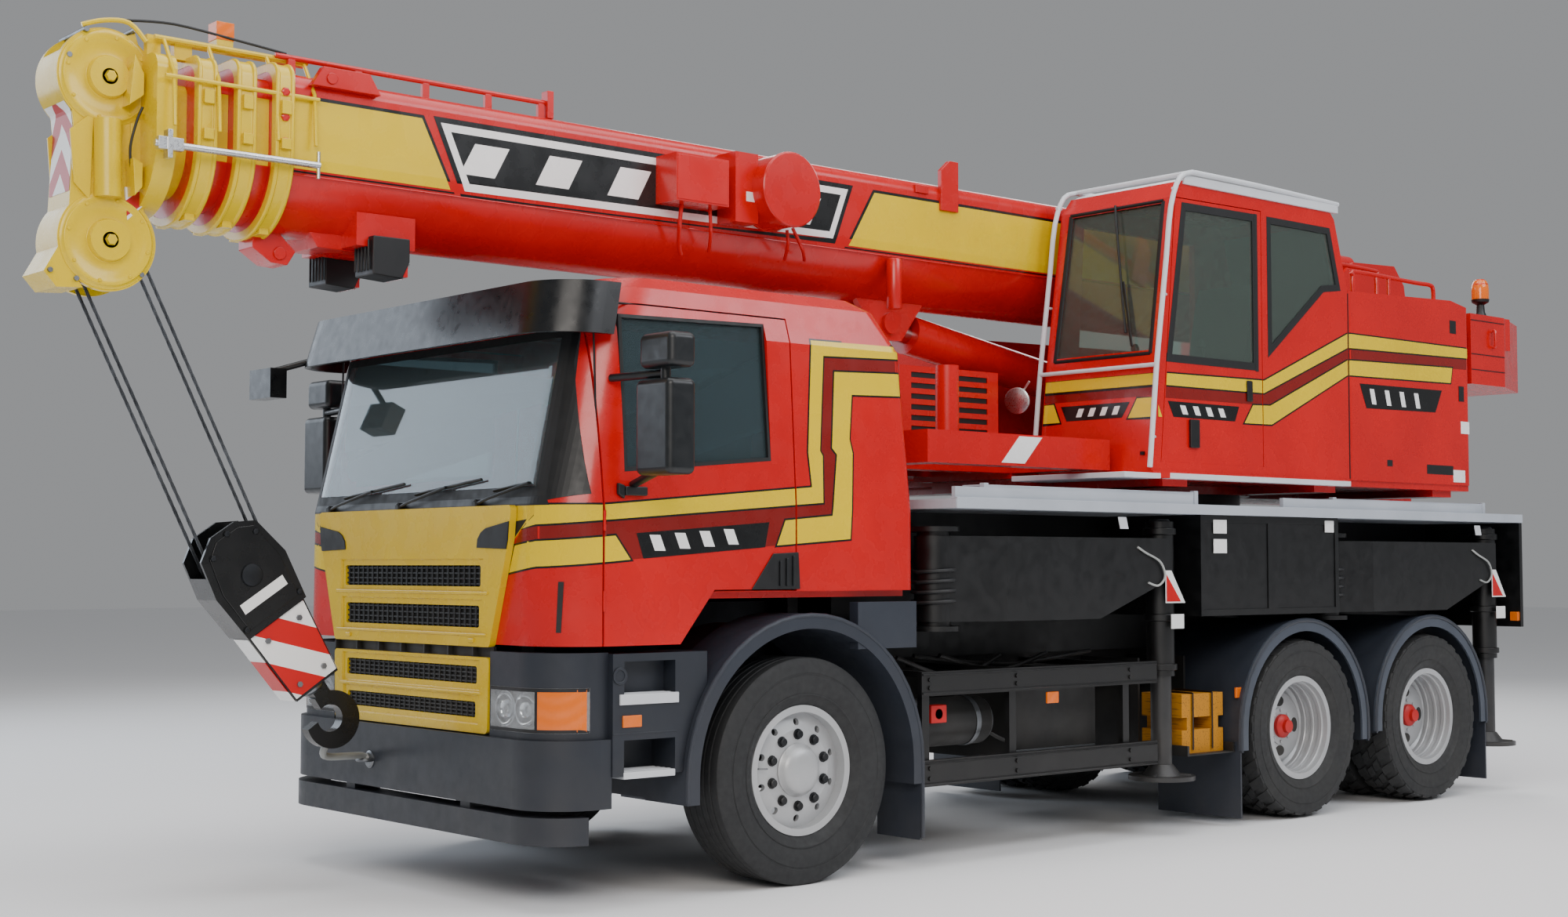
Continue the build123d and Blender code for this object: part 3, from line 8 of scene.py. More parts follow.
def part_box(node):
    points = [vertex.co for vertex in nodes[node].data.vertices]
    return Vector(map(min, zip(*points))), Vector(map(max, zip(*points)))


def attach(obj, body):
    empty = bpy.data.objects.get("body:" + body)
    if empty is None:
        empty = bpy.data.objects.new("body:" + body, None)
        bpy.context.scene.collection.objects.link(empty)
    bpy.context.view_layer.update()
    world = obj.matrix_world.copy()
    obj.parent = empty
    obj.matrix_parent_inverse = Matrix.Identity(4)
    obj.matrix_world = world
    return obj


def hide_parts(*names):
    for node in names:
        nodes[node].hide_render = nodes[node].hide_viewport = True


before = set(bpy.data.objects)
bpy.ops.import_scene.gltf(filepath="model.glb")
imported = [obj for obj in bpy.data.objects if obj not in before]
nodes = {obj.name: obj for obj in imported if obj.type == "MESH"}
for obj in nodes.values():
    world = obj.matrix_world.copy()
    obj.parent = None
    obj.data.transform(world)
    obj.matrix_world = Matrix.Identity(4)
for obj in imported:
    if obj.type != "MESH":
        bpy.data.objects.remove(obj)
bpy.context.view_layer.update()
lowWheel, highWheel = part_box("wheel_front_left")
frontAxle = (lowWheel.x + highWheel.x) / 2      # metres; lengths along the truck count from here

camera = {"place": (8.112, 8.366, 1.489), "headingDegrees": -130.769, "pitchDegrees": 3.028,
          "lens": 46.53, "sensor": 36.0}
studio = {"floor": "#f4f4f5", "sky": "#f2f4f7", "skyStrength": 0.34, "floorHalf": 60.0}


def linear(hexColour):
    steps = [int(hexColour[i:i + 2], 16) / 255 for i in (1, 3, 5)]
    return tuple(s / 12.92 if s <= 0.04045 else ((s + 0.055) / 1.055) ** 2.4 for s in steps) + (1.0,)


def addNode(tree, kind, settings=None, links=None):
    node = tree.nodes.new(kind)
    for key, value in (settings or {}).items():
        if isinstance(key, str) and key[0].islower():
            setattr(node, key, value)
        else:
            node.inputs[key].default_value = value
    for key, source in (links or {}).items():
        tree.links.new(source, node.inputs[key])
    return node


def spot(aheadMm, leftMm, upMm):
    return Vector((frontAxle + aheadMm / 1000, leftMm / 1000, upMm / 1000))


# which way a side lies from the middle, and the word that its pieces end with
bothSides = ((1, "Left"), (-1, "Right"))


def turnedFrame(axis):
    axis = Vector(axis).normalized()
    across = axis.orthogonal().normalized()
    if abs(axis.y) > 0.99:
        across = Vector((1, 0, 0))
    return axis, across, axis.cross(across)


def joinRings(shape, near, far):
    # solid between two loops of places, closed at both ends
    rings = [[shape.verts.new(place) for place in loop] for loop in (near, far)]
    count = len(near)
    for i in range(count):
        j = (i + 1) % count
        shape.faces.new((rings[0][i], rings[0][j], rings[1][j], rings[1][i]))
    shape.faces.new(rings[0])
    shape.faces.new(list(reversed(rings[1])))


def addPrism(shape, outline, way, near, far, side=1):
    # outline across the way: along y it is (ahead, up), along x (left, up), along z (ahead, left)
    def at(first, second, depth):
        if way == "y":
            return spot(first, side * depth, second)
        if way == "x":
            return spot(depth, side * first, second)
        return spot(first, side * second, depth)
    joinRings(shape, [at(a, b, near) for a, b in outline], [at(a, b, far) for a, b in outline])


def addBlock(shape, ahead, left, up, side=1):
    addPrism(shape, [(ahead[0], up[0]), (ahead[1], up[0]), (ahead[1], up[1]), (ahead[0], up[1])],
             "y", left[0], left[1], side)


def addTurned(shape, profile, centre, axis=(0, 1, 0), steps=32):
    # profile rows are (radius, distance along the axis), in millimetres
    axis, across, upward = turnedFrame(axis)
    rings = []
    for radius, along in profile:
        middle = centre + axis * (along / 1000)
        if radius < 0.01:
            rings.append([shape.verts.new(middle)])
            continue
        ring = []
        for i in range(steps):
            angle = 2 * math.pi * i / steps
            ring.append(shape.verts.new(middle + (across * math.cos(angle) + upward * math.sin(angle))
                                        * (radius / 1000)))
        rings.append(ring)
    for one, two in zip(rings, rings[1:]):
        for i in range(steps):
            j = (i + 1) % steps
            if len(one) == 1 and len(two) > 1:
                shape.faces.new((one[0], two[i], two[j]))
            elif len(two) == 1 and len(one) > 1:
                shape.faces.new((one[i], one[j], two[0]))
            elif len(one) > 1:
                shape.faces.new((one[i], one[j], two[j], two[i]))
    for ring in (rings[0], rings[-1]):
        if len(ring) > 2 and profile[0] != profile[-1]:
            shape.faces.new(ring)


def addPin(shape, radius, near, far, centre, axis=(0, 1, 0), steps=32):
    # solid cylinder between two distances along the axis
    addTurned(shape, [(0, near), (radius, near), (radius, far), (0, far)], centre, axis, steps)


def addSleeve(shape, inner, outer, near, far, centre, axis=(0, 1, 0), steps=32):
    # tube open at both ends
    profile = [(inner, near), (outer, near), (outer, far), (inner, far), (inner, near)]
    addTurned(shape, profile, centre, axis, steps)


def eased(points, steps=6):
    # passes a soft line through the given places
    places = [points[0]] + list(points) + [points[-1]]
    line = []
    for a, b, c, d in zip(places, places[1:], places[2:], places[3:]):
        for i in range(steps):
            t = i / steps
            line.append(0.5 * (2 * b + (c - a) * t + (2 * a - 5 * b + 4 * c - d) * t ** 2
                               + (3 * b - a - 3 * c + d) * t ** 3))
    line.append(Vector(points[-1]))
    return line


def addTube(shape, points, radius, steps=10, flat=1.0):
    # flat under 1 makes a strap of that share of its width in thickness
    rings = []
    across = None
    for i, place in enumerate(points):
        before = points[max(i - 1, 0)]
        after = points[min(i + 1, len(points) - 1)]
        way = (after - before).normalized()
        if across is None:
            across = way.orthogonal().normalized()
            if abs(way.y) < 0.9 and flat < 1:
                across = (Vector((0, 1, 0)) - way * way.y).normalized()
        across = (across - way * across.dot(way)).normalized()
        other = way.cross(across)
        ring = []
        for k in range(steps):
            angle = 2 * math.pi * k / steps
            ring.append(shape.verts.new(place + (across * math.cos(angle)
                                                 + other * math.sin(angle) * flat) * (radius / 1000)))
        rings.append(ring)
    for one, two in zip(rings, rings[1:]):
        for k in range(steps):
            m = (k + 1) % steps
            shape.faces.new((one[k], one[m], two[m], two[k]))
    shape.faces.new(rings[0])
    shape.faces.new(list(reversed(rings[-1])))


def finishPiece(shape, name, body, material, bevelMm=2.0, angle=35, replaces=()):
    bmesh.ops.recalc_face_normals(shape, faces=shape.faces)
    mesh = bpy.data.meshes.new(name)
    shape.to_mesh(mesh)
    shape.free()
    mesh.shade_smooth()
    mesh.set_sharp_from_angle(angle=math.radians(angle))
    piece = bpy.data.objects.new(name, mesh)
    bpy.context.scene.collection.objects.link(piece)
    mesh.materials.append(material)
    if bevelMm:
        bevel = piece.modifiers.new("edges", "BEVEL")
        bevel.width = bevelMm / 1000
        bevel.segments = 2
        bevel.limit_method = "ANGLE"
        bevel.angle_limit = math.radians(angle)
        bevel.harden_normals = True
    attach(piece, body)
    if replaces:
        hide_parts(*replaces)
    return piece


def skinOf(*names):
    places, faces = [], []
    for name in names:
        mesh = nodes[name].data
        start = len(places)
        places += [v.co.copy() for v in mesh.vertices]
        faces += [[start + i for i in p.vertices] for p in mesh.polygons]
    return BVHTree.FromPolygons(places, faces)


def grown(outline, by):
    # the outline moved out by a distance, its corners kept sharp
    area = sum(a[0] * b[1] - b[0] * a[1] for a, b in zip(outline, outline[1:] + outline[:1]))
    sign = 1 if area > 0 else -1
    result = []
    for i, here in enumerate(outline):
        before = Vector(outline[i - 1])
        here = Vector(here)
        after = Vector(outline[(i + 1) % len(outline)])
        one = (here - before).normalized()
        two = (after - here).normalized()
        outOne = Vector((one.y, -one.x)) * sign
        outTwo = Vector((two.y, -two.x)) * sign
        middle = (outOne + outTwo)
        middle = middle / max(middle.dot(outOne), 0.3)
        result.append(tuple(here + middle * by))
    return result


nudges = [Vector(n) for n in ((0, 0, 0), (3e-4, 3e-4, 3e-4), (-3e-4, -3e-4, -3e-4), (3e-4, -3e-4, -3e-4))]
reaches = [Vector(n) * 0.006 for n in ((1, 1, 0), (-1, -1, 0), (0, 0, 1), (0, 0, -1), (1, 1, -1),
                                       (-1, -1, -1))]


def addFilm(shape, outline, way, side, skin, lift, cuts=(), keep=()):
    # a sheet of paint or film cut to an outline and laid on a skin, along y or x
    film = bmesh.new()
    places = []
    for first, second in outline:
        places.append(film.verts.new(spot(first, 0, second) if way == "y" else spot(0, side * first,
                                                                                    second)))
    film.faces.new(places)
    film.normal_update()
    bmesh.ops.triangulate(film, faces=film.faces)
    normals = {"ahead": Vector((1, 0, 0)), "left": Vector((0, 1, 0)), "up": Vector((0, 0, 1))}
    for axis, value in cuts:
        place = spot(value, value, value)
        bmesh.ops.bisect_plane(film, geom=film.verts[:] + film.edges[:] + film.faces[:],
                               plane_co=place, plane_no=normals[axis])
    for axis, value, sign in keep:
        if axis == "line":
            place, run = spot(value[0][0], 0, value[0][1]), spot(value[1][0], 0, value[1][1])
            normal = Vector(((run - place).z, 0, (place - run).x))
        else:
            place, normal = spot(value, value, value), normals[axis]
        bmesh.ops.bisect_plane(film, geom=film.verts[:] + film.edges[:] + film.faces[:],
                               plane_co=place, plane_no=normal * sign, clear_inner=True)
    matched = {}
    aim = Vector((0, -side, 0)) if way == "y" else Vector((-1, 0, 0))
    for vertex in film.verts:
        if way == "y":
            start = Vector((vertex.co.x, side * 4.0, vertex.co.z))
        else:
            start = Vector((frontAxle + 4.0, vertex.co.y, vertex.co.z))
        # a ray that meets the seam of two facets can slip through, so its neighbours are tried too
        for tries in (nudges, reaches):
            hits = [skin.ray_cast(start + nudge, aim) for nudge in tries]
            hits = [h for h in hits if h[0] is not None]
            if hits:
                break
        if not hits:
            continue
        hit, normal = min(hits, key=lambda h: h[3])[:2]
        if normal.dot(aim) > 0:
            normal = -normal
        matched[vertex] = hit + normal * (lift / 1000)
    for face in film.faces:
        if all(v in matched for v in face.verts):
            shape.faces.new([shape.verts.new(matched[v]) for v in face.verts])
    film.free()


def cutsAt(axis, values):
    # where a film bends with the skin under it
    return [(axis, value) for value in values]


def steps(low, high, step):
    return [low + step * i for i in range(int((high - low) / step) + 1)]


def newMaterial(name):
    material = bpy.data.materials.new(name)
    material.use_nodes = True
    tree = material.node_tree
    tree.nodes.clear()
    output = addNode(tree, "ShaderNodeOutputMaterial")
    shader = addNode(tree, "ShaderNodeBsdfPrincipled")
    tree.links.new(shader.outputs["BSDF"], output.inputs["Surface"])
    place = addNode(tree, "ShaderNodeTexCoord").outputs["Object"]
    return material, tree, shader, place


def cloudyColour(tree, place, scale, detail, colour, shade, low=0.3, high=0.7):
    # two shades that drift into each other in soft clouds; scale is clouds per metre
    cloud = addNode(tree, "ShaderNodeTexNoise", {"Scale": scale, "Detail": detail}, {"Vector": place})
    share = addNode(tree, "ShaderNodeMapRange", {"From Min": low, "From Max": high},
                    {"Value": cloud.outputs["Fac"]})
    shades = addNode(tree, "ShaderNodeMix", {"data_type": "RGBA", 6: linear(colour), 7: linear(shade)},
                     {0: share.outputs["Result"]})
    return shades.outputs[2]


def unevenGloss(tree, shader, place, scale, detail, least, most, low=0.3, high=0.7):
    # roughness that changes from patch to patch
    cloud = addNode(tree, "ShaderNodeTexNoise", {"Scale": scale, "Detail": detail}, {"Vector": place})
    rough = addNode(tree, "ShaderNodeMapRange",
                    {"From Min": low, "From Max": high, "To Min": least, "To Max": most},
                    {"Value": cloud.outputs["Fac"]})
    tree.links.new(rough.outputs["Result"], shader.inputs["Roughness"])


def relief(tree, shader, height, strength, reachMm):
    # bumps too small to model, raised from a pattern
    bump = addNode(tree, "ShaderNodeBump", {"Strength": strength, "Distance": reachMm / 1000},
                   {"Height": height})
    tree.links.new(bump.outputs["Normal"], shader.inputs["Normal"])


def fineGrain(tree, shader, place, scale, detail, strength, reachMm):
    # irregular relief, such as orange peel or a moulded skin
    grain = addNode(tree, "ShaderNodeTexNoise", {"Scale": scale, "Detail": detail}, {"Vector": place})
    relief(tree, shader, grain.outputs["Fac"], strength, reachMm)


def roadDust(tree, shader, place, colour, dust, reach):
    # film of dry dust over a colour, thick near the road and gone above the reach in metres
    height = addNode(tree, "ShaderNodeSeparateXYZ", None, {"Vector": place})
    low = addNode(tree, "ShaderNodeMapRange", {"From Min": reach, "From Max": 0.1},
                  {"Value": height.outputs["Z"]})
    cloud = addNode(tree, "ShaderNodeTexNoise", {"Scale": 5, "Detail": 4}, {"Vector": place})
    drift = addNode(tree, "ShaderNodeMapRange", {"From Min": 0.15, "From Max": 0.85},
                    {"Value": cloud.outputs["Fac"]})
    amount = addNode(tree, "ShaderNodeMath", {"operation": "MULTIPLY"},
                     {0: low.outputs["Result"], 1: drift.outputs["Result"]})
    share = addNode(tree, "ShaderNodeMapRange", {"To Max": dust}, {"Value": amount.outputs[0]})
    dusty = addNode(tree, "ShaderNodeMix", {"data_type": "RGBA", 7: linear("#8d857b")},
                    {0: share.outputs["Result"], 6: colour})
    tree.links.new(dusty.outputs[2], shader.inputs["Base Color"])


paints = {
    # name: colour, shade seen in its cloudy variation, dust at the bottom
    "red": ("#c80002", "#b80002", 0.04), "yellow": ("#dfbf00", "#d6b500", 0.03),
    "darkRed": ("#7c0802", "#740702", 0.04), "black": ("#060708", "#08090a", 0.05),
    "white": ("#f0f0ef", "#e8e8e7", 0.05), "grilleYellow": ("#d2b000", "#c8a400", 0.06),
}


def glossPaint(name):
    # two-pack enamel, sprayed: deep colour under a hard clear sheet, with a faint orange peel
    colour, shade, dust = paints[name]
    material, tree, shader, place = newMaterial(name + "Enamel")
    roadDust(tree, shader, place, cloudyColour(tree, place, 1.7, 3, colour, shade), dust, 1.6)
    unevenGloss(tree, shader, place, 9, 5, 0.22, 0.34, 0.3, 0.75)
    shader.inputs["IOR"].default_value = 1.5
    shader.inputs["Coat Weight"].default_value = 0.15
    shader.inputs["Coat Roughness"].default_value = 0.08
    peelMm = 9      # real peel is about 1 mm, too fine to show, so it is drawn coarser
    fineGrain(tree, shader, place, 1000 / peelMm, 2, 0.06, 0.4)
    return material


def satinPaint(name, colour, shade, roughness=0.45, dust=0.5, reach=1.5, metal=0.0):
    # chassis paint or powder coat: no clear sheet, soft highlights that dust takes over low down
    material, tree, shader, place = newMaterial(name)
    roadDust(tree, shader, place, cloudyColour(tree, place, 3.5, 5, colour, shade), dust, reach)
    unevenGloss(tree, shader, place, 14, 5, roughness - 0.07, roughness + 0.1)
    shader.inputs["Metallic"].default_value = metal
    fineGrain(tree, shader, place, 180, 3, 0.08, 0.5)
    return material


def mouldedPlastic(name, colour, shade, roughness=0.5, grainMm=2.5, grain=0.18, dust=0.2):
    # polypropylene moulded with a leather-like grain, which breaks up its highlights
    material, tree, shader, place = newMaterial(name)
    roadDust(tree, shader, place, cloudyColour(tree, place, 4, 5, colour, shade), dust, 1.3)
    shader.inputs["IOR"].default_value = 1.49
    unevenGloss(tree, shader, place, 18, 4, roughness - 0.06, roughness + 0.08)
    cells = addNode(tree, "ShaderNodeTexVoronoi", {"Scale": 1000 / grainMm}, {"Vector": place})
    relief(tree, shader, cells.outputs["Distance"], grain, 0.3)
    return material


def bareMetal(name, colour, shade, roughness=0.35, brushMm=0.0, pits=0.1, dust=0.2):
    # unpainted metal: coloured reflections, streaked where it was brushed or drawn
    material, tree, shader, place = newMaterial(name)
    roadDust(tree, shader, place, cloudyColour(tree, place, 7, 6, colour, shade), dust, 1.0)
    shader.inputs["Metallic"].default_value = 1.0
    scale, detail = 160, 5
    if brushMm:
        drawn = addNode(tree, "ShaderNodeMapping", {"Scale": (12.0, 1000 / brushMm, 1000 / brushMm)},
                        {"Vector": place})
        place, scale, detail = drawn.outputs["Vector"], 1.0, 4
    unevenGloss(tree, shader, place, scale, detail, roughness - 0.08, roughness + 0.1)
    fineGrain(tree, shader, place, scale, detail, pits, 0.3)
    return material


def tyreRubber(name, colour, dusty):
    # vulcanised rubber: grey-black, dull, with moulding marks and dust in the tread
    material, tree, shader, place = newMaterial(name)
    mixed = cloudyColour(tree, place, 6, 5, colour, dusty, 0.2, 0.8)
    tree.links.new(mixed, shader.inputs["Base Color"])
    shader.inputs["IOR"].default_value = 1.52
    unevenGloss(tree, shader, place, 30, 4, 0.62, 0.82)
    fineGrain(tree, shader, place, 220, 4, 0.18, 0.6)
    return material


def paneGlass(name, tint, roughness=0.01, clear=0.93):
    # float glass: almost clear, mirror-bright at a slant, faintly tinted
    material, tree, shader, place = newMaterial(name)
    shader.inputs["Base Color"].default_value = linear(tint)
    unevenGloss(tree, shader, place, 4, 5, roughness, roughness + 0.04, 0.35, 0.7)
    shader.inputs["IOR"].default_value = 1.45
    shader.inputs["Transmission Weight"].default_value = clear
    return material


def lampLens(name, colour, ribMm=6.0, clear=0.6):
    # polycarbonate lens moulded with fine ribs that scatter what is behind it
    material, tree, shader, place = newMaterial(name)
    shader.inputs["Base Color"].default_value = linear(colour)
    shader.inputs["Roughness"].default_value = 0.12
    shader.inputs["IOR"].default_value = 1.58
    shader.inputs["Transmission Weight"].default_value = clear
    ribs = addNode(tree, "ShaderNodeTexWave",
                   {"bands_direction": "DIAGONAL", "Scale": 50 / ribMm, "Distortion": 0.3},
                   {"Vector": place})
    relief(tree, shader, ribs.outputs["Fac"], 0.3, 0.8)
    return material


def slantedBands(name, first, second, widthMm, across, slope, shiftMm=0.0):
    # retro-reflective sheet printed in slanted bands; fine glass beads dull its gloss a little
    material, tree, shader, place = newMaterial(name)
    axes = addNode(tree, "ShaderNodeSeparateXYZ", None, {"Vector": place})
    slanted = addNode(tree, "ShaderNodeMath", {"operation": "MULTIPLY_ADD", 1: slope},
                      {0: axes.outputs[across], 2: axes.outputs["Z"]})
    moved = addNode(tree, "ShaderNodeMath", {"operation": "ADD", 1: 50 + shiftMm / 1000},
                    {0: slanted.outputs[0]})
    pairs = addNode(tree, "ShaderNodeMath", {"operation": "DIVIDE", 1: 2 * widthMm / 1000},
                    {0: moved.outputs[0]})
    part = addNode(tree, "ShaderNodeMath", {"operation": "FRACT"}, {0: pairs.outputs[0]})
    band = addNode(tree, "ShaderNodeMath", {"operation": "GREATER_THAN", 1: 0.5}, {0: part.outputs[0]})
    bands = addNode(tree, "ShaderNodeMix", {"data_type": "RGBA", 6: linear(first), 7: linear(second)},
                    {0: band.outputs[0]})
    tree.links.new(bands.outputs[2], shader.inputs["Base Color"])
    unevenGloss(tree, shader, place, 500, 2, 0.3, 0.45)
    fineGrain(tree, shader, place, 500, 2, 0.08, 0.2)
    return material


def wovenCloth(name, colour, shade, threadMm=6.0):
    # seat cloth: a coarse weave with a soft nap; real thread is 1 mm, drawn coarser to show
    material, tree, shader, place = newMaterial(name)
    weave = addNode(tree, "ShaderNodeTexChecker", {"Scale": 1000 / threadMm}, {"Vector": place})
    threads = addNode(tree, "ShaderNodeMix", {"data_type": "RGBA", 6: linear(colour), 7: linear(shade)},
                      {0: weave.outputs["Fac"]})
    tree.links.new(threads.outputs[2], shader.inputs["Base Color"])
    shader.inputs["Roughness"].default_value = 0.85
    shader.inputs["Sheen Weight"].default_value = 0.3
    relief(tree, shader, weave.outputs["Fac"], 0.3, 0.6)
    return material


def paintedTimber(name):
    # sawn softwood blocks, brushed yellow: grain telegraphs through the worn coat
    material, tree, shader, place = newMaterial(name)
    grainMm = 9
    sawn = addNode(tree, "ShaderNodeMapping", {"Scale": (1000 / grainMm, 8.0, 1000 / grainMm)},
                   {"Vector": place}).outputs["Vector"]
    worn = cloudyColour(tree, sawn, 1.0, 6, "#b97a08", "#6f4a18", 0.56, 0.68)
    tree.links.new(worn, shader.inputs["Base Color"])
    shader.inputs["Roughness"].default_value = 0.7
    fineGrain(tree, shader, sawn, 1.0, 6, 0.5, 1.5)
    return material


redEnamel = glossPaint("red")
yellowEnamel = glossPaint("yellow")
darkRedEnamel = glossPaint("darkRed")
blackEnamel = glossPaint("black")
whiteEnamel = glossPaint("white")
grilleEnamel = glossPaint("grilleYellow")
chassisPaint = satinPaint("chassisPaint", "#08090a", "#0c0d0e", 0.5, 0.12)
outriggerPaint = satinPaint("outriggerPaint", "#040506", "#07080a", 0.38, 0.05)
wheelPaint = satinPaint("wheelPaint", "#bcbdbf", "#b0b2b4", 0.38, 0.2, 1.0, 0.35)
# satin black for dark parts, also laid as painted shade in holes, gaps, recesses and openings
darkPartsAndPaintedShade = satinPaint("darkPartsAndPaintedShade", "#08090a", "#0c0d0e", 0.6, 0.2)
redHub = satinPaint("redHub", "#c80306", "#b40205", 0.45, 0.1)
jackPaint = satinPaint("jackPaint", "#1a1c1f", "#202226", 0.4, 0.2)
sillPaint = satinPaint("sillPaint", "#d2d5da", "#c6c9ce", 0.4, 0.1)
bumperPlastic = mouldedPlastic("bumperPlastic", "#1d232d", "#1b2029", 0.42, 2.5, 0.1, 0.1)
# lighter copy of the guard plastic: painted highlight for the light on the arches' rounded lips
guardLipPaintedHighlight = mouldedPlastic("guardLipPaintedHighlight", "#424955", "#39404b", 0.42, 3.0, 0.1, 0.1)
guardPlastic = mouldedPlastic("guardPlastic", "#272d38", "#242933", 0.48, 3.0, 0.1, 0.1)
visorPlastic = mouldedPlastic("visorPlastic", "#07090c", "#090b0e", 0.3, 6.0, 0.02, 0.0)
trimPlastic = mouldedPlastic("trimPlastic", "#0b0c0e", "#0f1012", 0.45, 2.5, 0.15, 0.05)
mirrorPlastic = mouldedPlastic("mirrorPlastic", "#15181b", "#121517", 0.35, 2.5, 0.1, 0.0)
sealRubber = mouldedPlastic("sealRubber", "#0b0c0d", "#101113", 0.6, 2.0, 0.1)
dashPlastic = mouldedPlastic("dashPlastic", "#24272b", "#2c3034", 0.6, 3.0, 0.2, 0.0)
frontRubber = tyreRubber("frontRubber", "#1c1d1f", "#242526")
rearRubber = tyreRubber("rearRubber", "#1e1f21", "#2b2b2a")
deckPlate = satinPaint("deckPlate", "#b3b9c2", "#a7adb6", 0.4, 0.1)
silverTube = bareMetal("silverTube", "#d9dadb", "#c6c8ca", 0.3, 0, 0.05)
zincBolt = bareMetal("zincBolt", "#8d9094", "#74777b", 0.4, 0, 0.2)
darkBolt = bareMetal("darkBolt", "#3b3d40", "#2c2e31", 0.5, 0, 0.3)
forgedIron = bareMetal("forgedIron", "#35373a", "#26282a", 0.55, 0, 0.5)
hardChrome = bareMetal("hardChrome", "#d5d8db", "#cdd0d3", 0.12, 0, 0.02, 0.0)
ropeSteel = bareMetal("ropeSteel", "#5d6064", "#3c3e41", 0.5, 4, 0.6)
# pale blue-grey windscreen tint: a faint real tint, and partly painted sky reflection
screenTintAndPaintedSky = paneGlass("screenTintAndPaintedSky", "#b9cdd2")
sideGlass = paneGlass("sideGlass", "#7d9aa2", 0.01, 0.9)
craneGlass = paneGlass("craneGlass", "#9fb3a8", 0.02, 0.9)
clearLens = lampLens("clearLens", "#e9edf0", 6, 0.8)
amberLens = lampLens("amberLens", "#ff7a08", 5, 0.25)
redLens = lampLens("redLens", "#d40f14", 5, 0.2)
seatCloth = wovenCloth("seatCloth", "#3a4148", "#2a3036")
timberPaint = paintedTimber("timberPaint")
chevronSheet = slantedBands("chevronSheet", "#b00808", "#e8e8e6", 70, "X", 0.8)
chevronLeft = slantedBands("chevronLeft", "#b00808", "#e8e8e6", 105, "Y", 1.2)
chevronRight = slantedBands("chevronRight", "#b00808", "#e8e8e6", 105, "Y", -1.2)
blockBands = slantedBands("blockBands", "#c80306", "#efefee", 105, "X", -0.25, 20)
paleRope = mouldedPlastic("paleRope", "#b9bbb8", "#8f9290", 0.7, 3.0, 0.5, 0.1)
hoseRubber = mouldedPlastic("hoseRubber", "#121315", "#1a1b1d", 0.5, 2.0, 0.1)
print("materials done")


finishes = {
    "chassis_frame": chassisPaint, "engine": forgedIron, "axles": chassisPaint,
    "crane_subframe": outriggerPaint,
    "deck": deckPlate, "mudguards": guardPlastic, "side_guards": outriggerPaint, "bumper": bumperPlastic,
    "truck_cab": redEnamel, "cab_interior": dashPlastic, "windscreen": screenTintAndPaintedSky,
    "sun_visor": visorPlastic,
    "grille": grilleEnamel, "headlamps": clearLens, "tanks": chassisPaint, "timber_rack": chassisPaint,
    "timber_blocks": timberPaint, "turntable": redEnamel, "hoist_winch": forgedIron,
    "crane_cab": redEnamel,
    "crane_cab_door": redEnamel, "operator_seat": seatCloth, "engine_housing": redEnamel,
    "counterweight": redEnamel, "luff_barrel": redEnamel, "luff_rod": hardChrome, "boom_base": redEnamel,
    "cable_reel": redEnamel, "boom_section_1": redEnamel, "boom_section_2": redEnamel,
    "boom_section_3": yellowEnamel, "head_sheaves": forgedIron, "hoist_ropes": ropeSteel,
    "hook_block": blackEnamel,
}
for side in ("left", "right"):
    finishes["knuckle_" + side] = chassisPaint
    finishes["door_" + side] = redEnamel
    finishes["mirror_" + side] = mirrorPlastic
    finishes["wheel_front_" + side] = wheelPaint
    finishes["tyre_front_" + side] = frontRubber
    for place in ("middle", "rear"):
        finishes["wheels_" + place + "_" + side] = wheelPaint
        finishes["tyres_" + place + "_" + side] = rearRubber
    for place in ("front", "rear"):
        finishes["outrigger_leg_" + place + "_" + side] = outriggerPaint
        finishes["outrigger_jack_" + place + "_" + side] = jackPaint
for name, node in nodes.items():
    node.data.materials.clear()
    node.data.materials.append(finishes[name])
print("solids finished")


def makeStage():
    shape = bmesh.new()
    half = studio["floorHalf"]
    shape.faces.new([shape.verts.new((x * half, y * half, -0.001)) for x, y in ((-1, -1), (1, -1), (1, 1),
                                                                                (-1, 1))])
    mesh = bpy.data.meshes.new("floor")
    shape.to_mesh(mesh)
    shape.free()
    floor = bpy.data.objects.new("floor", mesh)
    bpy.context.scene.collection.objects.link(floor)
    material, tree, shader, place = newMaterial("studioFloor")     # matt seamless backdrop paint
    shader.inputs["Base Color"].default_value = linear(studio["floor"])
    shader.inputs["Roughness"].default_value = 0.85
    mesh.materials.append(material)

    world = bpy.data.worlds.new("studio")
    world.use_nodes = True
    sky = world.node_tree.nodes["Background"]
    sky.inputs["Color"].default_value = linear(studio["sky"])
    sky.inputs["Strength"].default_value = studio["skyStrength"]
    bpy.context.scene.world = world


# name: place, what it looks at, width, height, watts, colour
softboxes = {
    "overhead": ((1.0, 2.0, 11.0), (0.0, 0.0, 1.5), 12.0, 8.0, 920, "#ffffff"),
    "frontLeft": ((9.5, 9.0, 7.0), (1.5, 0.0, 1.8), 7.0, 5.0, 820, "#fff8f0"),
    "side": ((-4.5, 10.5, 9.5), (-2.0, 0.0, 1.8), 10.0, 4.0, 780, "#f6f9ff"),
    "back": ((-9.0, -8.0, 8.0), (-1.0, 0.0, 2.0), 8.0, 5.0, 600, "#ffffff"),
    "nose": ((7.6, -10.3, 5.6), (2.6, 0.0, 2.4), 10.0, 6.0, 560, "#e4f0ff"),
}


def makeLights():
    for name, (place, target, width, height, watts, colour) in softboxes.items():
        light = bpy.data.lights.new(name, "AREA")
        light.shape = "RECTANGLE"
        light.size, light.size_y = width, height
        light.energy = watts
        light.color = linear(colour)[:3]
        lamp = bpy.data.objects.new(name, light)
        lamp.location = place
        lamp.rotation_euler = (Vector(target) - Vector(place)).to_track_quat("-Z", "Y").to_euler()
        bpy.context.scene.collection.objects.link(lamp)


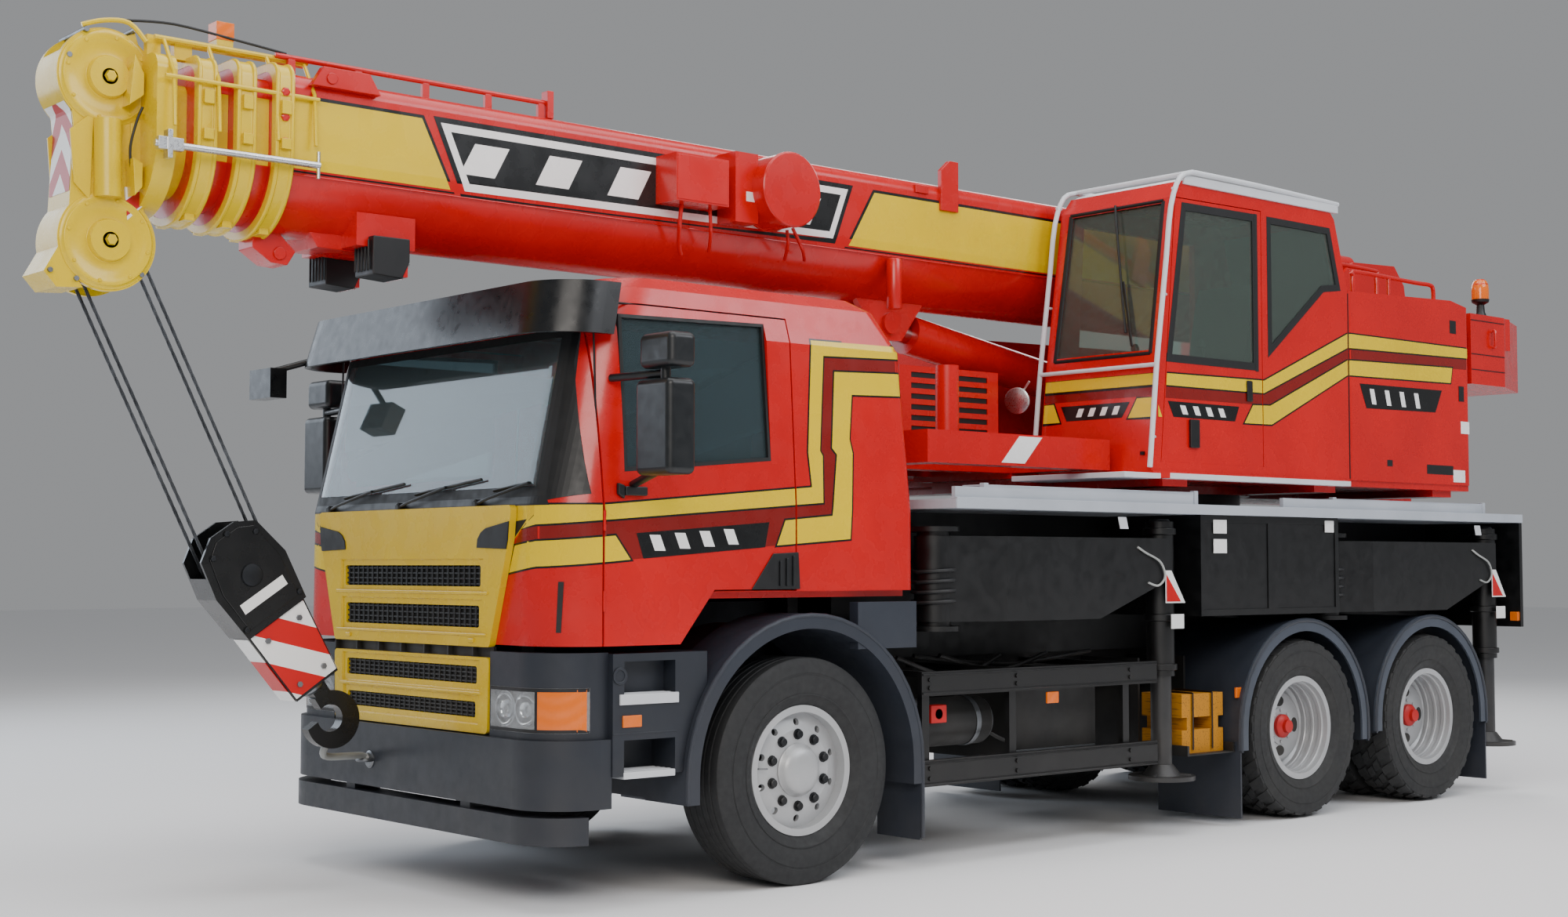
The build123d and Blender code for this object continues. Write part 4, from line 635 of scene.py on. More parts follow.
def makeCamera():
    lens = bpy.data.cameras.new("view")
    lens.sensor_width = camera["sensor"]
    lens.lens = camera["lens"]
    lens.clip_end = 200
    eye = bpy.data.objects.new("view", lens)
    eye.location = camera["place"]
    heading, pitch = math.radians(camera["headingDegrees"]), math.radians(camera["pitchDegrees"])
    gaze = Vector((math.cos(heading) * math.cos(pitch), math.sin(heading) * math.cos(pitch),
                   math.sin(pitch)))
    eye.rotation_euler = gaze.to_track_quat("-Z", "Y").to_euler()
    bpy.context.scene.collection.objects.link(eye)
    bpy.context.scene.camera = eye


makeStage()
makeLights()
makeCamera()
print("stage done")


# every outline is (ahead, up) in millimetres from the front axle and the ground

cabStripes = {
    "lift": 1.0, "edge": 9,
    "upper": [(1420, 1753), (1176, 1753), (-33, 1859), (-17, 2025), (-64, 2562), (-640, 2570),
              (-640, 2508), (-137, 2492),
              (-92, 2034), (-108, 2010), (-100, 1787), (1176, 1687), (1420, 1665)],
    "band": [(1420, 1665), (1176, 1687), (-100, 1787), (-108, 2010), (-92, 2034), (-137, 2492),
             (-640, 2508), (-640, 2434),
             (-204, 2419), (-170, 2050), (-200, 2020), (-158, 1726), (138, 1700), (190, 1583),
             (1032, 1516), (1113, 1620), (1175, 1614), (1420, 1592)],
    "lowerFront": [(1420, 1592), (1175, 1614), (1113, 1620), (1032, 1516), (1175, 1504), (1420, 1482)],
    "lowerRear": [(190, 1583), (138, 1700), (-158, 1726), (-200, 2020), (-170, 2050), (-204, 2419),
                  (-640, 2434), (-640, 2324), (-312, 2314), (-285, 2098), (-302, 2030), (-273, 1617)],
    "badge": [(1000, 1632), (236, 1690), (262, 1574), (962, 1520)],
    "badgeBars": [(900, 60), (760, 60), (620, 60), (480, 60)],
}
craneStripes = {
    "lift": 1.0, "edge": 9,
    "upper": [(-2400, 2556), (-3531, 2570), (-4390, 2911), (-5781, 2912), (-5781, 2850), (-4388, 2824),
              (-3529, 2497), (-2400, 2492)],
    "band": [(-2400, 2492), (-3529, 2497), (-4388, 2824), (-5781, 2850), (-5781, 2774), (-4386, 2747),
             (-3589, 2426), (-2400, 2420)],
    "lower": [(-3422, 2421), (-3589, 2426), (-4386, 2747), (-5567, 2774), (-5545, 2675), (-4384, 2656),
              (-3602, 2316), (-3339, 2313)],
    "lowerFront": [(-2400, 2420), (-2536, 2420), (-2589, 2313), (-2400, 2313)],
    "badge": [(-2640, 2405), (-3290, 2405), (-3250, 2318), (-2690, 2318)],
    "housingBadge": [(-4510, 2612), (-5440, 2620), (-5360, 2474), (-4580, 2462)],
}
boomPanels = {
    "lift": 1.0, "edge": 16,
    "front": [(2208, 3540), (1560, 3540), (1404, 3228), (2208, 3228)],
    "centre": [(1500, 3560), (-1130, 3560), (-1000, 3228), (1344, 3205)],
    "rear": [(-1290, 3540), (-2640, 3540), (-5500, 3540), (-5500, 3228), (-1100, 3228)],
    "bars": [(1180, 190), (760, 190), (340, 190), (-480, 190), (-800, 190)],
}


def slantedBar(middle, width, low, high, slant):
    return [(middle - width / 2 + slant, low), (middle + width / 2 + slant, low),
            (middle + width / 2, high), (middle - width / 2, high)]


def addEdged(outline, edge, colourShape, edgeShape, way, side, skin, lift, cuts, keep):
    addFilm(edgeShape, grown(outline, edge), way, side, skin, lift * 0.5, cuts, keep)
    addFilm(colourShape, outline, way, side, skin, lift, cuts, keep)


stripeColours = {"Yellow": yellowEnamel, "Dark": darkRedEnamel, "Edge": blackEnamel, "Bars": whiteEnamel}


def newStripes():
    return [bmesh.new() for label in stripeColours]


def finishStripes(shapes, start, end, body):
    # one piece for each colour that was laid
    for (label, material), shape in zip(stripeColours.items(), shapes):
        if shape.faces:
            finishPiece(shape, start + label + end, body, material, 0)
        else:
            shape.free()


def makeCabStripes():
    bends = [("up", 1760), ("up", 2540), ("ahead", -640), ("ahead", 1095)]
    curved = steps(1095, 1180, 20) + steps(1180, 1424, 10) + steps(-700, -590, 15)
    bends += cutsAt("ahead", curved)
    # name, body, nodes underneath, the lengths it keeps
    zones = [("Nose", "carrier", ["truck_cab"], [("ahead", 1173, 1)]),
             ("Door", "door_{}", ["door_{}"], [("ahead", 1164, -1), ("ahead", 76, 1)]),
             ("Rear", "carrier", ["truck_cab"], [("ahead", 66, -1), ("ahead", -706, 1)])]
    s = cabStripes
    for side, hand in ((1, "left"), (-1, "right")):
        for zone, body, under, keep in zones:
            skin = skinOf(*[u.format(hand) for u in under])
            yellow, dark, black, white = newStripes()
            addFilm(dark, s["band"], "y", side, skin, 0.4, bends, keep)
            for part in ("upper", "lowerFront", "lowerRear"):
                addEdged(s[part], s["edge"], yellow, black, "y", side, skin, s["lift"] + 0.4, bends, keep)
            addFilm(black, s["badge"], "y", side, skin, s["lift"], bends, keep)
            if zone == "Door":
                for middle, width in s["badgeBars"]:
                    rise = (1000 - middle) * 0.072
                    addFilm(white, slantedBar(middle, width, 1548 + rise, 1618 + rise, -30), "y", side,
                            skin, s["lift"] + 0.6, bends, keep)
            finishStripes((yellow, dark, black, white), "cabStripe", zone + hand.title(),
                          body.format(hand))


def makeCornerPaint():
    # the yellow of the grille and the side bands meet on the rounded corner of the cab
    s = cabStripes
    skin = skinOf("truck_cab")
    bends = [("left", side * left) for side in (1, -1) for left in steps(850, 1004, 7)]
    panel, vent, yellow, dark, black = bmesh.new(), bmesh.new(), bmesh.new(), bmesh.new(), bmesh.new()
    for side in (1, -1):
        addFilm(panel, [(850, 1756), (1003, 1755), (1003, 1724), (903, 1652), (850, 1606)], "x", side,
                skin, 0.8, bends)
        addFilm(vent, [(850, 1684), (942, 1692), (893, 1648), (850, 1614)], "x", side, skin, 1.4, bends)
        addFilm(dark, [(908, 1651), (862, 1604), (850, 1577), (1003, 1596), (1003, 1670)], "x", side,
                skin, 0.6, bends)
        for outline in ([(1003, 1720), (908, 1651), (1003, 1670)],
                        [(850, 1577), (808, 1458), (1003, 1486), (1003, 1596)]):
            addEdged(outline, s["edge"], yellow, black, "x", side, skin, s["lift"] + 0.4, bends, ())
    for label, shape, material in (("Panel", panel, grilleEnamel), ("Vent", vent, darkPartsAndPaintedShade),
                                   ("Yellow", yellow, yellowEnamel),
                                   ("Dark", dark, darkRedEnamel), ("Edge", black, blackEnamel)):
        finishPiece(shape, "cornerPaint" + label, "carrier", material, 0)


def makeCraneStripes():
    bends = [("up", 2630)] + cutsAt("ahead", steps(-5800, -5700, 15) + steps(-4460, -4396, 12))
    doorEdge = ((-2588, 2064), (-2728, 3555))
    s = craneStripes
    zones = [("Pillar", "crane_cab", [("ahead", -2556, -1), ("line", doorEdge, 1)]),
             ("Door", "crane_cab_door", [("line", doorEdge, -1), ("ahead", -3513, 1)]),
             ("Cab", "crane_cab", [("ahead", -3520, -1), ("ahead", -4385, 1)]),
             ("Housing", "engine_housing", [("ahead", -4400, -1), ("ahead", -5768, 1)])]
    for zone, node, keep in zones:
        skin = skinOf(node)
        yellow, dark, black, white = newStripes()
        addFilm(dark, s["band"], "y", 1, skin, 0.4, bends, keep)
        for part in ("upper", "lower", "lowerFront"):
            addEdged(s[part], s["edge"], yellow, black, "y", 1, skin, s["lift"] + 0.4, bends, keep)
        for badge, place, low in (("badge", "Door", 2336), ("housingBadge", "Housing", 2490)):
            if zone == place:
                addFilm(black, s[badge], "y", 1, skin, s["lift"], bends, keep)
                for n in range(4):
                    middle = s[badge][0][0] - 130 - n * (115 if zone == "Door" else 165)
                    addFilm(white, slantedBar(middle, 48, low, low + (50 if zone == "Door" else 95), -26),
                            "y", 1, skin, s["lift"] + 0.6, bends, keep)
        finishStripes((yellow, dark, black, white), "craneStripe", zone, "superstructure")
    # the same bands across the cab's front
    skin = skinOf("crane_cab")
    yellow, dark, black, white = newStripes()
    addFilm(dark, [(432, 2430), (1243, 2430), (1243, 2500), (432, 2500)], "x", 1, skin, 0.4)
    for outline in ([(432, 2492), (1243, 2492), (1243, 2556), (432, 2556)],
                    [(1243, 2313), (1243, 2421), (1120, 2421), (1064, 2313)],
                    [(432, 2313), (560, 2313), (504, 2421), (432, 2421)]):
        addEdged(outline, s["edge"], yellow, black, "x", 1, skin, s["lift"] + 0.4, (), ())
    addFilm(black, [(560, 2405), (1070, 2405), (1020, 2318), (610, 2318)], "x", 1, skin, s["lift"])
    for n in range(4):
        left = 680 + n * 88
        addFilm(white, [(left, 2338), (left + 40, 2338), (left + 58, 2386), (left + 18, 2386)], "x", 1,
                skin, s["lift"] + 0.6)
    finishStripes((yellow, dark, black, white), "craneFrontStripe", "", "superstructure")


def makeBoomPanels():
    s = boomPanels
    skin = skinOf("boom_base")
    beforeCollar = [("ahead", 2209, -1)]
    for side, hand in bothSides:
        yellow, black, white = bmesh.new(), bmesh.new(), bmesh.new()
        for part in ("front", "rear"):
            addEdged(s[part], s["edge"], yellow, black, "y", side, skin, s["lift"] + 0.4, [("up", 3275)],
                     beforeCollar)
        addFilm(black, s["centre"], "y", side, skin, s["lift"], [("up", 3275)], ())
        outer, inner = grown(s["centre"], -26), grown(s["centre"], -62)
        for i in range(4):
            j = (i + 1) % 4
            addFilm(white, [outer[i], outer[j], inner[j], inner[i]], "y", side, skin, s["lift"] + 0.6,
                    [("up", 3275)], ())
        for middle, width in s["bars"]:
            addFilm(white, slantedBar(middle, width, 3310, 3460, 80), "y", side, skin, s["lift"] + 0.6,
                    (), ())
        finishPiece(yellow, "boomPanelYellow" + hand, "boom_base", yellowEnamel, 0)
        finishPiece(black, "boomPanelDark" + hand, "boom_base", blackEnamel, 0)
        for section, near, far in (("boom_section_1", 2302, 2383), ("boom_section_2", 2475, 2556)):
            shape = bmesh.new()
            addFilm(shape, [(near, 3228), (far, 3228), (far, 3520), (near, 3520)], "y", side,
                    skinOf(section), 1.0, cutsAt("up", steps(3230, 3290, 12)))
            finishPiece(shape, section.replace("_", "").title() + "Yellow" + hand, section, yellowEnamel,
                        0)
        finishPiece(white, "boomPanelBars" + hand, "boom_base", whiteEnamel, 0)


makeCabStripes()
makeCornerPaint()
makeCraneStripes()
makeBoomPanels()
print("stripes done")


tyre = {
    "crown": 530, "ribGrooves": (-88, -44, 0, 44, 88), "grooveWidth": 9,
    "grooveDepth": 13, "lugs": 30, "lugDepth": 17, "turnSteps": 96,
}
wheelNuts = {"count": 10, "circle": 168, "across": 19, "high": 24, "washer": 26}
# middle of each wheel from the truck's middle, the twins' spacing, and the axles' height
wheelPlace = {"front": 1055, "twin": 1083, "twinGap": 350, "up": 530}
axleAhead = {"middle": -3920, "rear": -5280}


def sidewall(crown):
    # outer half of a tyre's section from bead to tread edge: (radius, across)
    return [(306, 112), (318, 124), (330, 131), (352, 142), (354, 145), (360, 145), (362, 142),
            (395, 153),
            (420, 156.5), (446, 156), (448, 153), (456, 153), (458, 155), (480, 153), (500, 148),
            (crown - 12, 143), (crown - 3, 136), (crown, 126)]


def turnedTyre(shape, centre, grooves, crown):
    left = sidewall(crown)
    tread = []
    for middle in sorted(grooves, reverse=True):
        half = tyre["grooveWidth"] / 2
        tread += [(crown, middle + half + 1.5), (crown - 2, middle + half),
                  (crown - tyre["grooveDepth"], middle + half - 2),
                  (crown - tyre["grooveDepth"], middle - half + 2), (crown - 2, middle - half),
                  (crown, middle - half - 1.5)]
    right = [(r, -a) for r, a in reversed(left)]
    inner = [(300, -104), (300, 104)]
    ring = left + tread + right + inner
    addTurned(shape, ring + [ring[0]], centre, steps=tyre["turnSteps"])


def addLug(shape, centre, angle, spread, low, high, skew):
    # tread block between two places across the tyre, its ends turned by the skew
    rows = []
    for radius in (tyre["crown"] - tyre["lugDepth"] - 2, tyre["crown"] - 0.5):
        for across, shift in ((low, -skew), (high, skew)):
            for way in (-1, 1):
                at = angle + shift + way * (spread if radius < tyre["crown"] - 5 else spread * 0.9)
                r = radius - max(0, abs(across) - 128) * 0.9
                rows.append(shape.verts.new(centre
                                            + Vector((math.cos(at) * r, across,
                                                      math.sin(at) * r)) / 1000))
    for face in ((0, 1, 3, 2), (4, 6, 7, 5), (0, 4, 5, 1), (2, 3, 7, 6), (0, 2, 6, 4), (1, 5, 7, 3)):
        shape.faces.new([rows[i] for i in face])


def makeTyres():
    for side, hand in ((1, "left"), (-1, "right")):
        shape = bmesh.new()
        turnedTyre(shape, spot(0, side * wheelPlace["front"], wheelPlace["up"]), tyre["ribGrooves"],
                   tyre["crown"])
        finishPiece(shape, "ribbedTyre" + hand.title(), "front_wheel_" + hand, frontRubber, 0,
                    30, ["tyre_front_" + hand])
        for place in ("middle", "rear"):
            shape = bmesh.new()
            for left in (wheelPlace["twin"], wheelPlace["twin"] - wheelPlace["twinGap"]):
                centre = spot(axleAhead[place], side * left, wheelPlace["up"])
                turnedTyre(shape, centre, (), tyre["crown"] - tyre["lugDepth"])
                for n in range(tyre["lugs"]):
                    angle = 2 * math.pi * n / tyre["lugs"]
                    half = math.pi / tyre["lugs"]
                    addLug(shape, centre, angle, half * 0.62, 58, 146, 0.05)
                    addLug(shape, centre, angle + half, half * 0.62, -146, -58, 0.05)
                    addLug(shape, centre, angle + half * 0.4, half * 0.66, 4, 52, 0.04)
                    addLug(shape, centre, angle + half * 1.4, half * 0.66, -52, -4, 0.04)
            finishPiece(shape, place + "Tyres" + hand.title(), place + "_wheels_" + hand, rearRubber, 0,
                        30, ["tyres_" + place + "_" + hand])


def addNuts(shape, centre, side, faceMm):
    for n in range(wheelNuts["count"]):
        angle = 2 * math.pi * (n + 0.5) / wheelNuts["count"]
        place = centre + Vector((math.cos(angle), 0, math.sin(angle))) * (wheelNuts["circle"] / 1000)
        addTurned(shape, [(0, faceMm), (wheelNuts["washer"], faceMm), (wheelNuts["washer"], faceMm + 5),
                          (wheelNuts["across"], faceMm + 6),
                          (wheelNuts["across"], faceMm + wheelNuts["high"] - 4),
                          (wheelNuts["across"] - 4, faceMm + wheelNuts["high"]),
                          (0, faceMm + wheelNuts["high"])],
                  place, (0, side, 0), 12)


def makeWheelDetails():
    for side, hand in ((1, "left"), (-1, "right")):
        body = "front_wheel_" + hand
        centre = spot(0, side * wheelPlace["front"], wheelPlace["up"])
        shape = bmesh.new()
        addNuts(shape, centre, side, 88)
        finishPiece(shape, "frontNuts" + hand.title(), body, darkBolt, 1)
        shape = bmesh.new()
        addTurned(shape, [(118, 88.5), (126, 88.5), (126, 94), (119, 100), (112, 118), (95, 134),
                          (60, 142), (0, 145)], centre, (0, side, 0), 40)
        finishPiece(shape, "frontHubCap" + hand.title(), body, wheelPaint, 1)
        shape = bmesh.new()
        valve = centre + Vector((0.26, side * 0.07, 0.02))
        addTube(shape, eased([valve, valve + Vector((-0.02, side * 0.03, 0)), valve
                              + Vector((-0.05, side * 0.05, 0))]), 4)
        for n in range(4):
            turn = n * math.pi / 2 + 0.3
            addPin(shape, 5, 0, 3, centre
                   + Vector((math.cos(turn) * 0.279, side * 0.1, math.sin(turn) * 0.279)), (0, side, 0),
                   10)
        finishPiece(shape, "valve" + hand.title(), body, zincBolt, 0)
        for place in ("middle", "rear"):
            body = place + "_wheels_" + hand
            middle = spot(axleAhead[place], side * (wheelPlace["twin"] - wheelPlace["twinGap"] / 2),
                          wheelPlace["up"])
            # openings in the disc, drawn as thin dark ovals of painted shade instead of holes, and the
            # ridges rolled into the rim
            shape = bmesh.new()
            for n in range(4):
                turn = n * math.pi / 2
                out, around = Vector((math.cos(turn), 0, math.sin(turn))), Vector((-math.sin(turn), 0,
                                                                                   math.cos(turn)))
                oval = [middle + out * (0.147 + 0.031 * math.cos(a)) + around * (0.044 * math.sin(a))
                        for a in [2 * math.pi * k / 20 for k in range(20)]]
                joinRings(shape, *[[v + Vector((0, side * depth / 1000, 0)) for v in oval]
                                   for depth in (139, 142)])
            finishPiece(shape, place + "DiscOpeningShade" + hand.title(), body, darkPartsAndPaintedShade, 0)
            shape = bmesh.new()
            for out, inward, deep in ((262, 262, 26), (205, 258, 20), (150, 252, 30)):
                addTurned(shape, [(274, out), (inward + 4, out), (inward, out - 5), (inward, out - deep),
                                  (274, out - deep - 14), (274, out)], middle, (0, side, 0), 48)
            # the dished face of the disc
            addTurned(shape, [(104, 132), (104, 141), (192, 141), (206, 136), (216, 124), (224, 104),
                              (230, 96),
                              (222, 96), (208, 118), (196, 130), (104, 132)], middle, (0, side, 0), 48)
            finishPiece(shape, place + "RimRidges" + hand.title(), body, wheelPaint, 0)
            shape = bmesh.new()
            addTurned(shape, [(84, 151), (108.5, 148), (108.5, 118), (104, 112)], middle, (0, side, 0),
                      36)
            for n in range(8):
                turn = n * math.pi / 4
                addPin(shape, 10, 151, 158, middle + Vector((math.cos(turn), 0, math.sin(turn))) * 0.094,
                       (0, side, 0), 6)
            finishPiece(shape, place + "HubFlange" + hand.title(), body, wheelPaint, 1)
            shape = bmesh.new()
            addTurned(shape, [(0, 151), (70, 151), (70, 172), (58, 184), (40, 190), (38, 212), (0, 216)],
                      middle, (0, side, 0), 32)
            finishPiece(shape, place + "HubCap" + hand.title(), body, redHub, 1.5)


makeTyres()
makeWheelDetails()
print("wheels done")


doorGlass = {"outline": [(1052, 1908), (1052, 2592), (223, 2612), (223, 1984)], "thick": 5}


def cabSideY(up):
    # outer face of the cab's side at a height
    if up <= 1760:
        return 1215
    if up <= 2540:
        return 1215 - 45 * (up - 1760) / 780
    return 1170 - 60 * (up - 2540) / 195


def makeCabGlass():
    for side, hand in ((1, "left"), (-1, "right")):
        def onSide(ahead, up, depth):
            return spot(ahead, side * (cabSideY(up) + depth), up)
        shape = bmesh.new()
        # the pane lies behind the door's face and follows its slope
        joinRings(shape, *[[onSide(ahead, up, depth) for ahead, up in doorGlass["outline"]]
                           for depth in (-16, -16 - doorGlass["thick"])])
        finishPiece(shape, "doorGlass" + hand.title(), "door_" + hand, sideGlass, 0)
        # rubber frame round the window, a ring between two outlines
        shape = bmesh.new()
        outer = [(1060, 1900), (1060, 2600), (215, 2620), (215, 1975)]
        inner = [(1044, 1921), (1044, 2584), (231, 2604), (231, 1991)]
        for i in range(4):
            j = (i + 1) % 4
            quad = [outer[i], outer[j], inner[j], inner[i]]
            joinRings(shape, [onSide(a, u, 0.8) for a, u in quad], [onSide(a, u, -24) for a, u in quad])
        finishPiece(shape, "doorWindowSeal" + hand.title(), "door_" + hand, sealRubber, 0)
        # black rubber tube sunk in the gap between door and cab: real seal and painted shade of the dark
        # seam
        shape = bmesh.new()
        seam = [(1169, 1150), (1169, 2654), (71, 2654), (71, 1376)]
        line = [spot(a, side * (cabSideY(u) - 20), u) for a, u in seam]
        for one, two in zip(line, line[1:]):
            addTube(shape, [one, two], 5, 6)
        finishPiece(shape, "doorSeal" + hand.title(), "carrier", sealRubber, 0)


def makeScreenTrim():
    skin = skinOf("windscreen", "truck_cab")
    shape = bmesh.new()
    bends = cutsAt("left", range(-1040, 1041, 26)) + [("up", 1760), ("up", 2540)]
    outer = [(-1040, 1768), (1040, 1768), (1012, 2538), (-1012, 2538)]
    inner = [(-975, 1835), (975, 1835), (955, 2500), (-955, 2500)]
    for i in range(4):
        j = (i + 1) % 4
        addFilm(shape, [outer[i], outer[j], inner[j], inner[i]], "x", 1, skin, 1.5, bends)
    finishPiece(shape, "screenBorder", "carrier", sealRubber, 0)
    # black pillars beside the screen
    shape = bmesh.new()
    bends = cutsAt("left", range(-1220, 1221, 20)) + [("up", 1760), ("up", 2540)]
    skin = skinOf("truck_cab")
    for side in (1, -1):
        pillar = [(side * 1038, 1772), (side * 1180, 1800), (side * 1140, 2540), (side * 1004, 2540)]
        addFilm(shape, pillar, "x", 1, skin, 1.5, bends)
    finishPiece(shape, "pillarTrim", "carrier", trimPlastic, 0)
    # scuttle panel under the screen
    shape = bmesh.new()
    addFilm(shape, [(-1060, 1752), (1060, 1752), (1040, 1790), (-1040, 1790)], "x", 1,
            skinOf("truck_cab", "windscreen"), 2.0, bends)
    finishPiece(shape, "scuttle", "carrier", trimPlastic, 0)


wipers = {"pivots": [(560, 1745), (-120, 1745), (-800, 1745)], "arm": 430}


def makeWipers():
    skin = skinOf("windscreen", "truck_cab")

    def onScreen(left, up, lift):
        hit = skin.ray_cast(Vector((frontAxle + 4, left / 1000, up / 1000)), Vector((-1, 0, 0)))[0]
        return hit + Vector((lift / 1000, 0, 0))

    for n, (left, up) in enumerate(wipers["pivots"]):
        shape = bmesh.new()
        root = onScreen(left, up + 20, 22)
        tip = onScreen(left + wipers["arm"] * 0.92, up + 105, 26)
        addTurned(shape, [(0, -20), (22, -20), (22, 8), (14, 14), (0, 14)], root, (1, 0, 0), 16)
        addTube(shape, eased([root, root.lerp(tip, 0.3) + Vector((0.012, 0, 0)), tip]), 7)
        blade = [onScreen(left + wipers["arm"] * 0.92 + d, up + 105 + d * 0.1, 15)
                 for d in (-280, -140, 0, 140, 280)
                 if abs(left + wipers["arm"] * 0.92 + d) < 1010]
        addTube(shape, blade, 9, 8, 0.6)
        finishPiece(shape, "wiper" + str(n + 1), "carrier", trimPlastic, 0)


grilleSlots = [(1395, 96, 615), (1212, 98, 605), (962, 78, 590), (812, 70, 580)]


def makeGrilleDetails():
    shape = bmesh.new()
    for low, high, half in grilleSlots:
        addBlock(shape, (1399, 1401), (-half - 2, half + 2), (low - 2, low + high + 2))
    finishPiece(shape, "grilleShadow", "carrier", darkPartsAndPaintedShade, 0)
    shape = bmesh.new()
    for low, high, half in grilleSlots:
        for row in range(4):
            z = low + high * (row + 0.5) / 4
            addBlock(shape, (1402, 1409), (-half, half), (z - 3.5, z + 3.5))
        for n in range(int(half * 2 / 46)):
            y = -half + 23 + n * 46
            addBlock(shape, (1402, 1411), (y - 3, y + 3), (low, low + high))
    finishPiece(shape, "grilleMesh", "carrier", darkPartsAndPaintedShade, 0)
    shape = bmesh.new()
    for side in (1, -1):
        # dark vents in the two upper corners
        addPrism(shape, [(side * 600, 1569), (side * 606, 1608), (side * 634, 1638), (side * 672, 1656),
                         (side * 858, 1684), (side * 850, 1600), (side * 838, 1562)], "x", 1424, 1433)
    finishPiece(shape, "cornerVents", "carrier", darkPartsAndPaintedShade, 2)
    shape = bmesh.new()
    # dark strip with small bars across the front: painted shade in the gap
    for n in range(7):
        addBlock(shape, (1396, 1426), (-700 + n * 210, -690 + n * 210), (1086, 1126))
    addBlock(shape, (1386, 1400), (-700, 700), (1080, 1130))
    finishPiece(shape, "gapShadeStrip", "carrier", darkPartsAndPaintedShade, 0)
    # raised ribs between the grille's slots, and its release latches
    shape = bmesh.new()
    for y in (-560, 560):
        addBlock(shape, (1425, 1436), (y - 22, y + 22), (1146, 1164))
    for half, low, high in ((690, 1360, 1374), (680, 1175, 1187), (640, 915, 927)):
        addBlock(shape, (1424, 1433), (-half, half), (low, high))
    finishPiece(shape, "grilleRibs", "carrier", grilleEnamel, 4)


def makeLamps():
    for side, hand in bothSides:
        shape = bmesh.new()
        for y, radius in ((815, 74), (965, 70)):
            centre = spot(1372, side * y, 866)
            addTurned(shape, [(radius, 26), (radius * 0.86, 8), (radius * 0.5, -6), (0, -10), (0, -14),
                              (radius * 0.5, -10),
                              (radius * 0.9, 4), (radius + 4, 26), (radius, 26)], centre, (1, 0, 0), 28)
        finishPiece(shape, "lampBowls" + hand, "carrier", hardChrome, 0)
        shape = bmesh.new()
        for y in (815, 965):
            addTurned(shape, [(0, 20), (14, 18), (20, 8), (20, -8), (0, -8)], spot(1368, side * y, 866),
                      (1, 0, 0), 16)
        finishPiece(shape, "lampBulbs" + hand, "carrier", clearLens, 0)
        shape = bmesh.new()
        skin = skinOf("headlamps")
        addFilm(shape, [(side * 1040, 775), (side * 1198, 775), (side * 1200, 955), (side * 1040, 955)],
                "x", 1, skin, 1.0, [("left", side * y) for y in range(1040, 1205, 12)])
        finishPiece(shape, "turnLens" + hand, "carrier", amberLens, 0)
        shape = bmesh.new()
        for near, far, low, high, bends in ((716, 1200, 770, 784, range(716, 1205, 16)),
                                            (716, 1200, 946, 961, range(716, 1205, 16)),
                                            (1030, 1042, 770, 961, ())):
            addFilm(shape, [(side * near, low), (side * far, low), (side * far, high),
                            (side * near, high)], "x", 1,
                    skin, 1.6, [("left", side * y) for y in bends])
        finishPiece(shape, "lampRim" + hand, "carrier", trimPlastic, 0)


makeCabGlass()
makeScreenTrim()
makeWipers()
makeGrilleDetails()
makeLamps()
print("cab front done")


craneCab = {
    "doorGlass": [(-2650, 2640), (-2795, 3520), (-3462, 3528), (-3462, 2640)],
    "rearGlass": [(-3590, 2740), (-3590, 3528), (-4200, 3528), (-4300, 3182), (-4135, 3160)],
    "frontAt": [(2050, -2492), (2630, -2560), (3560, -2705)],
}


def craneFront(up):
    rows = craneCab["frontAt"]
    for (z0, x0), (z1, x1) in zip(rows, rows[1:]):
        if up <= z1:
            return x0 + (x1 - x0) * (up - z0) / (z1 - z0)
    return rows[-1][1]


def addFrameRing(shape, outline, width, way, near, far, side=1):
    # flat ring that follows an outline, such as a window's rubber
    inner = grown(outline, -width)
    count = len(outline)
    for i in range(count):
        j = (i + 1) % count
        addPrism(shape, [outline[i], outline[j], inner[j], inner[i]], way, near, far, side)


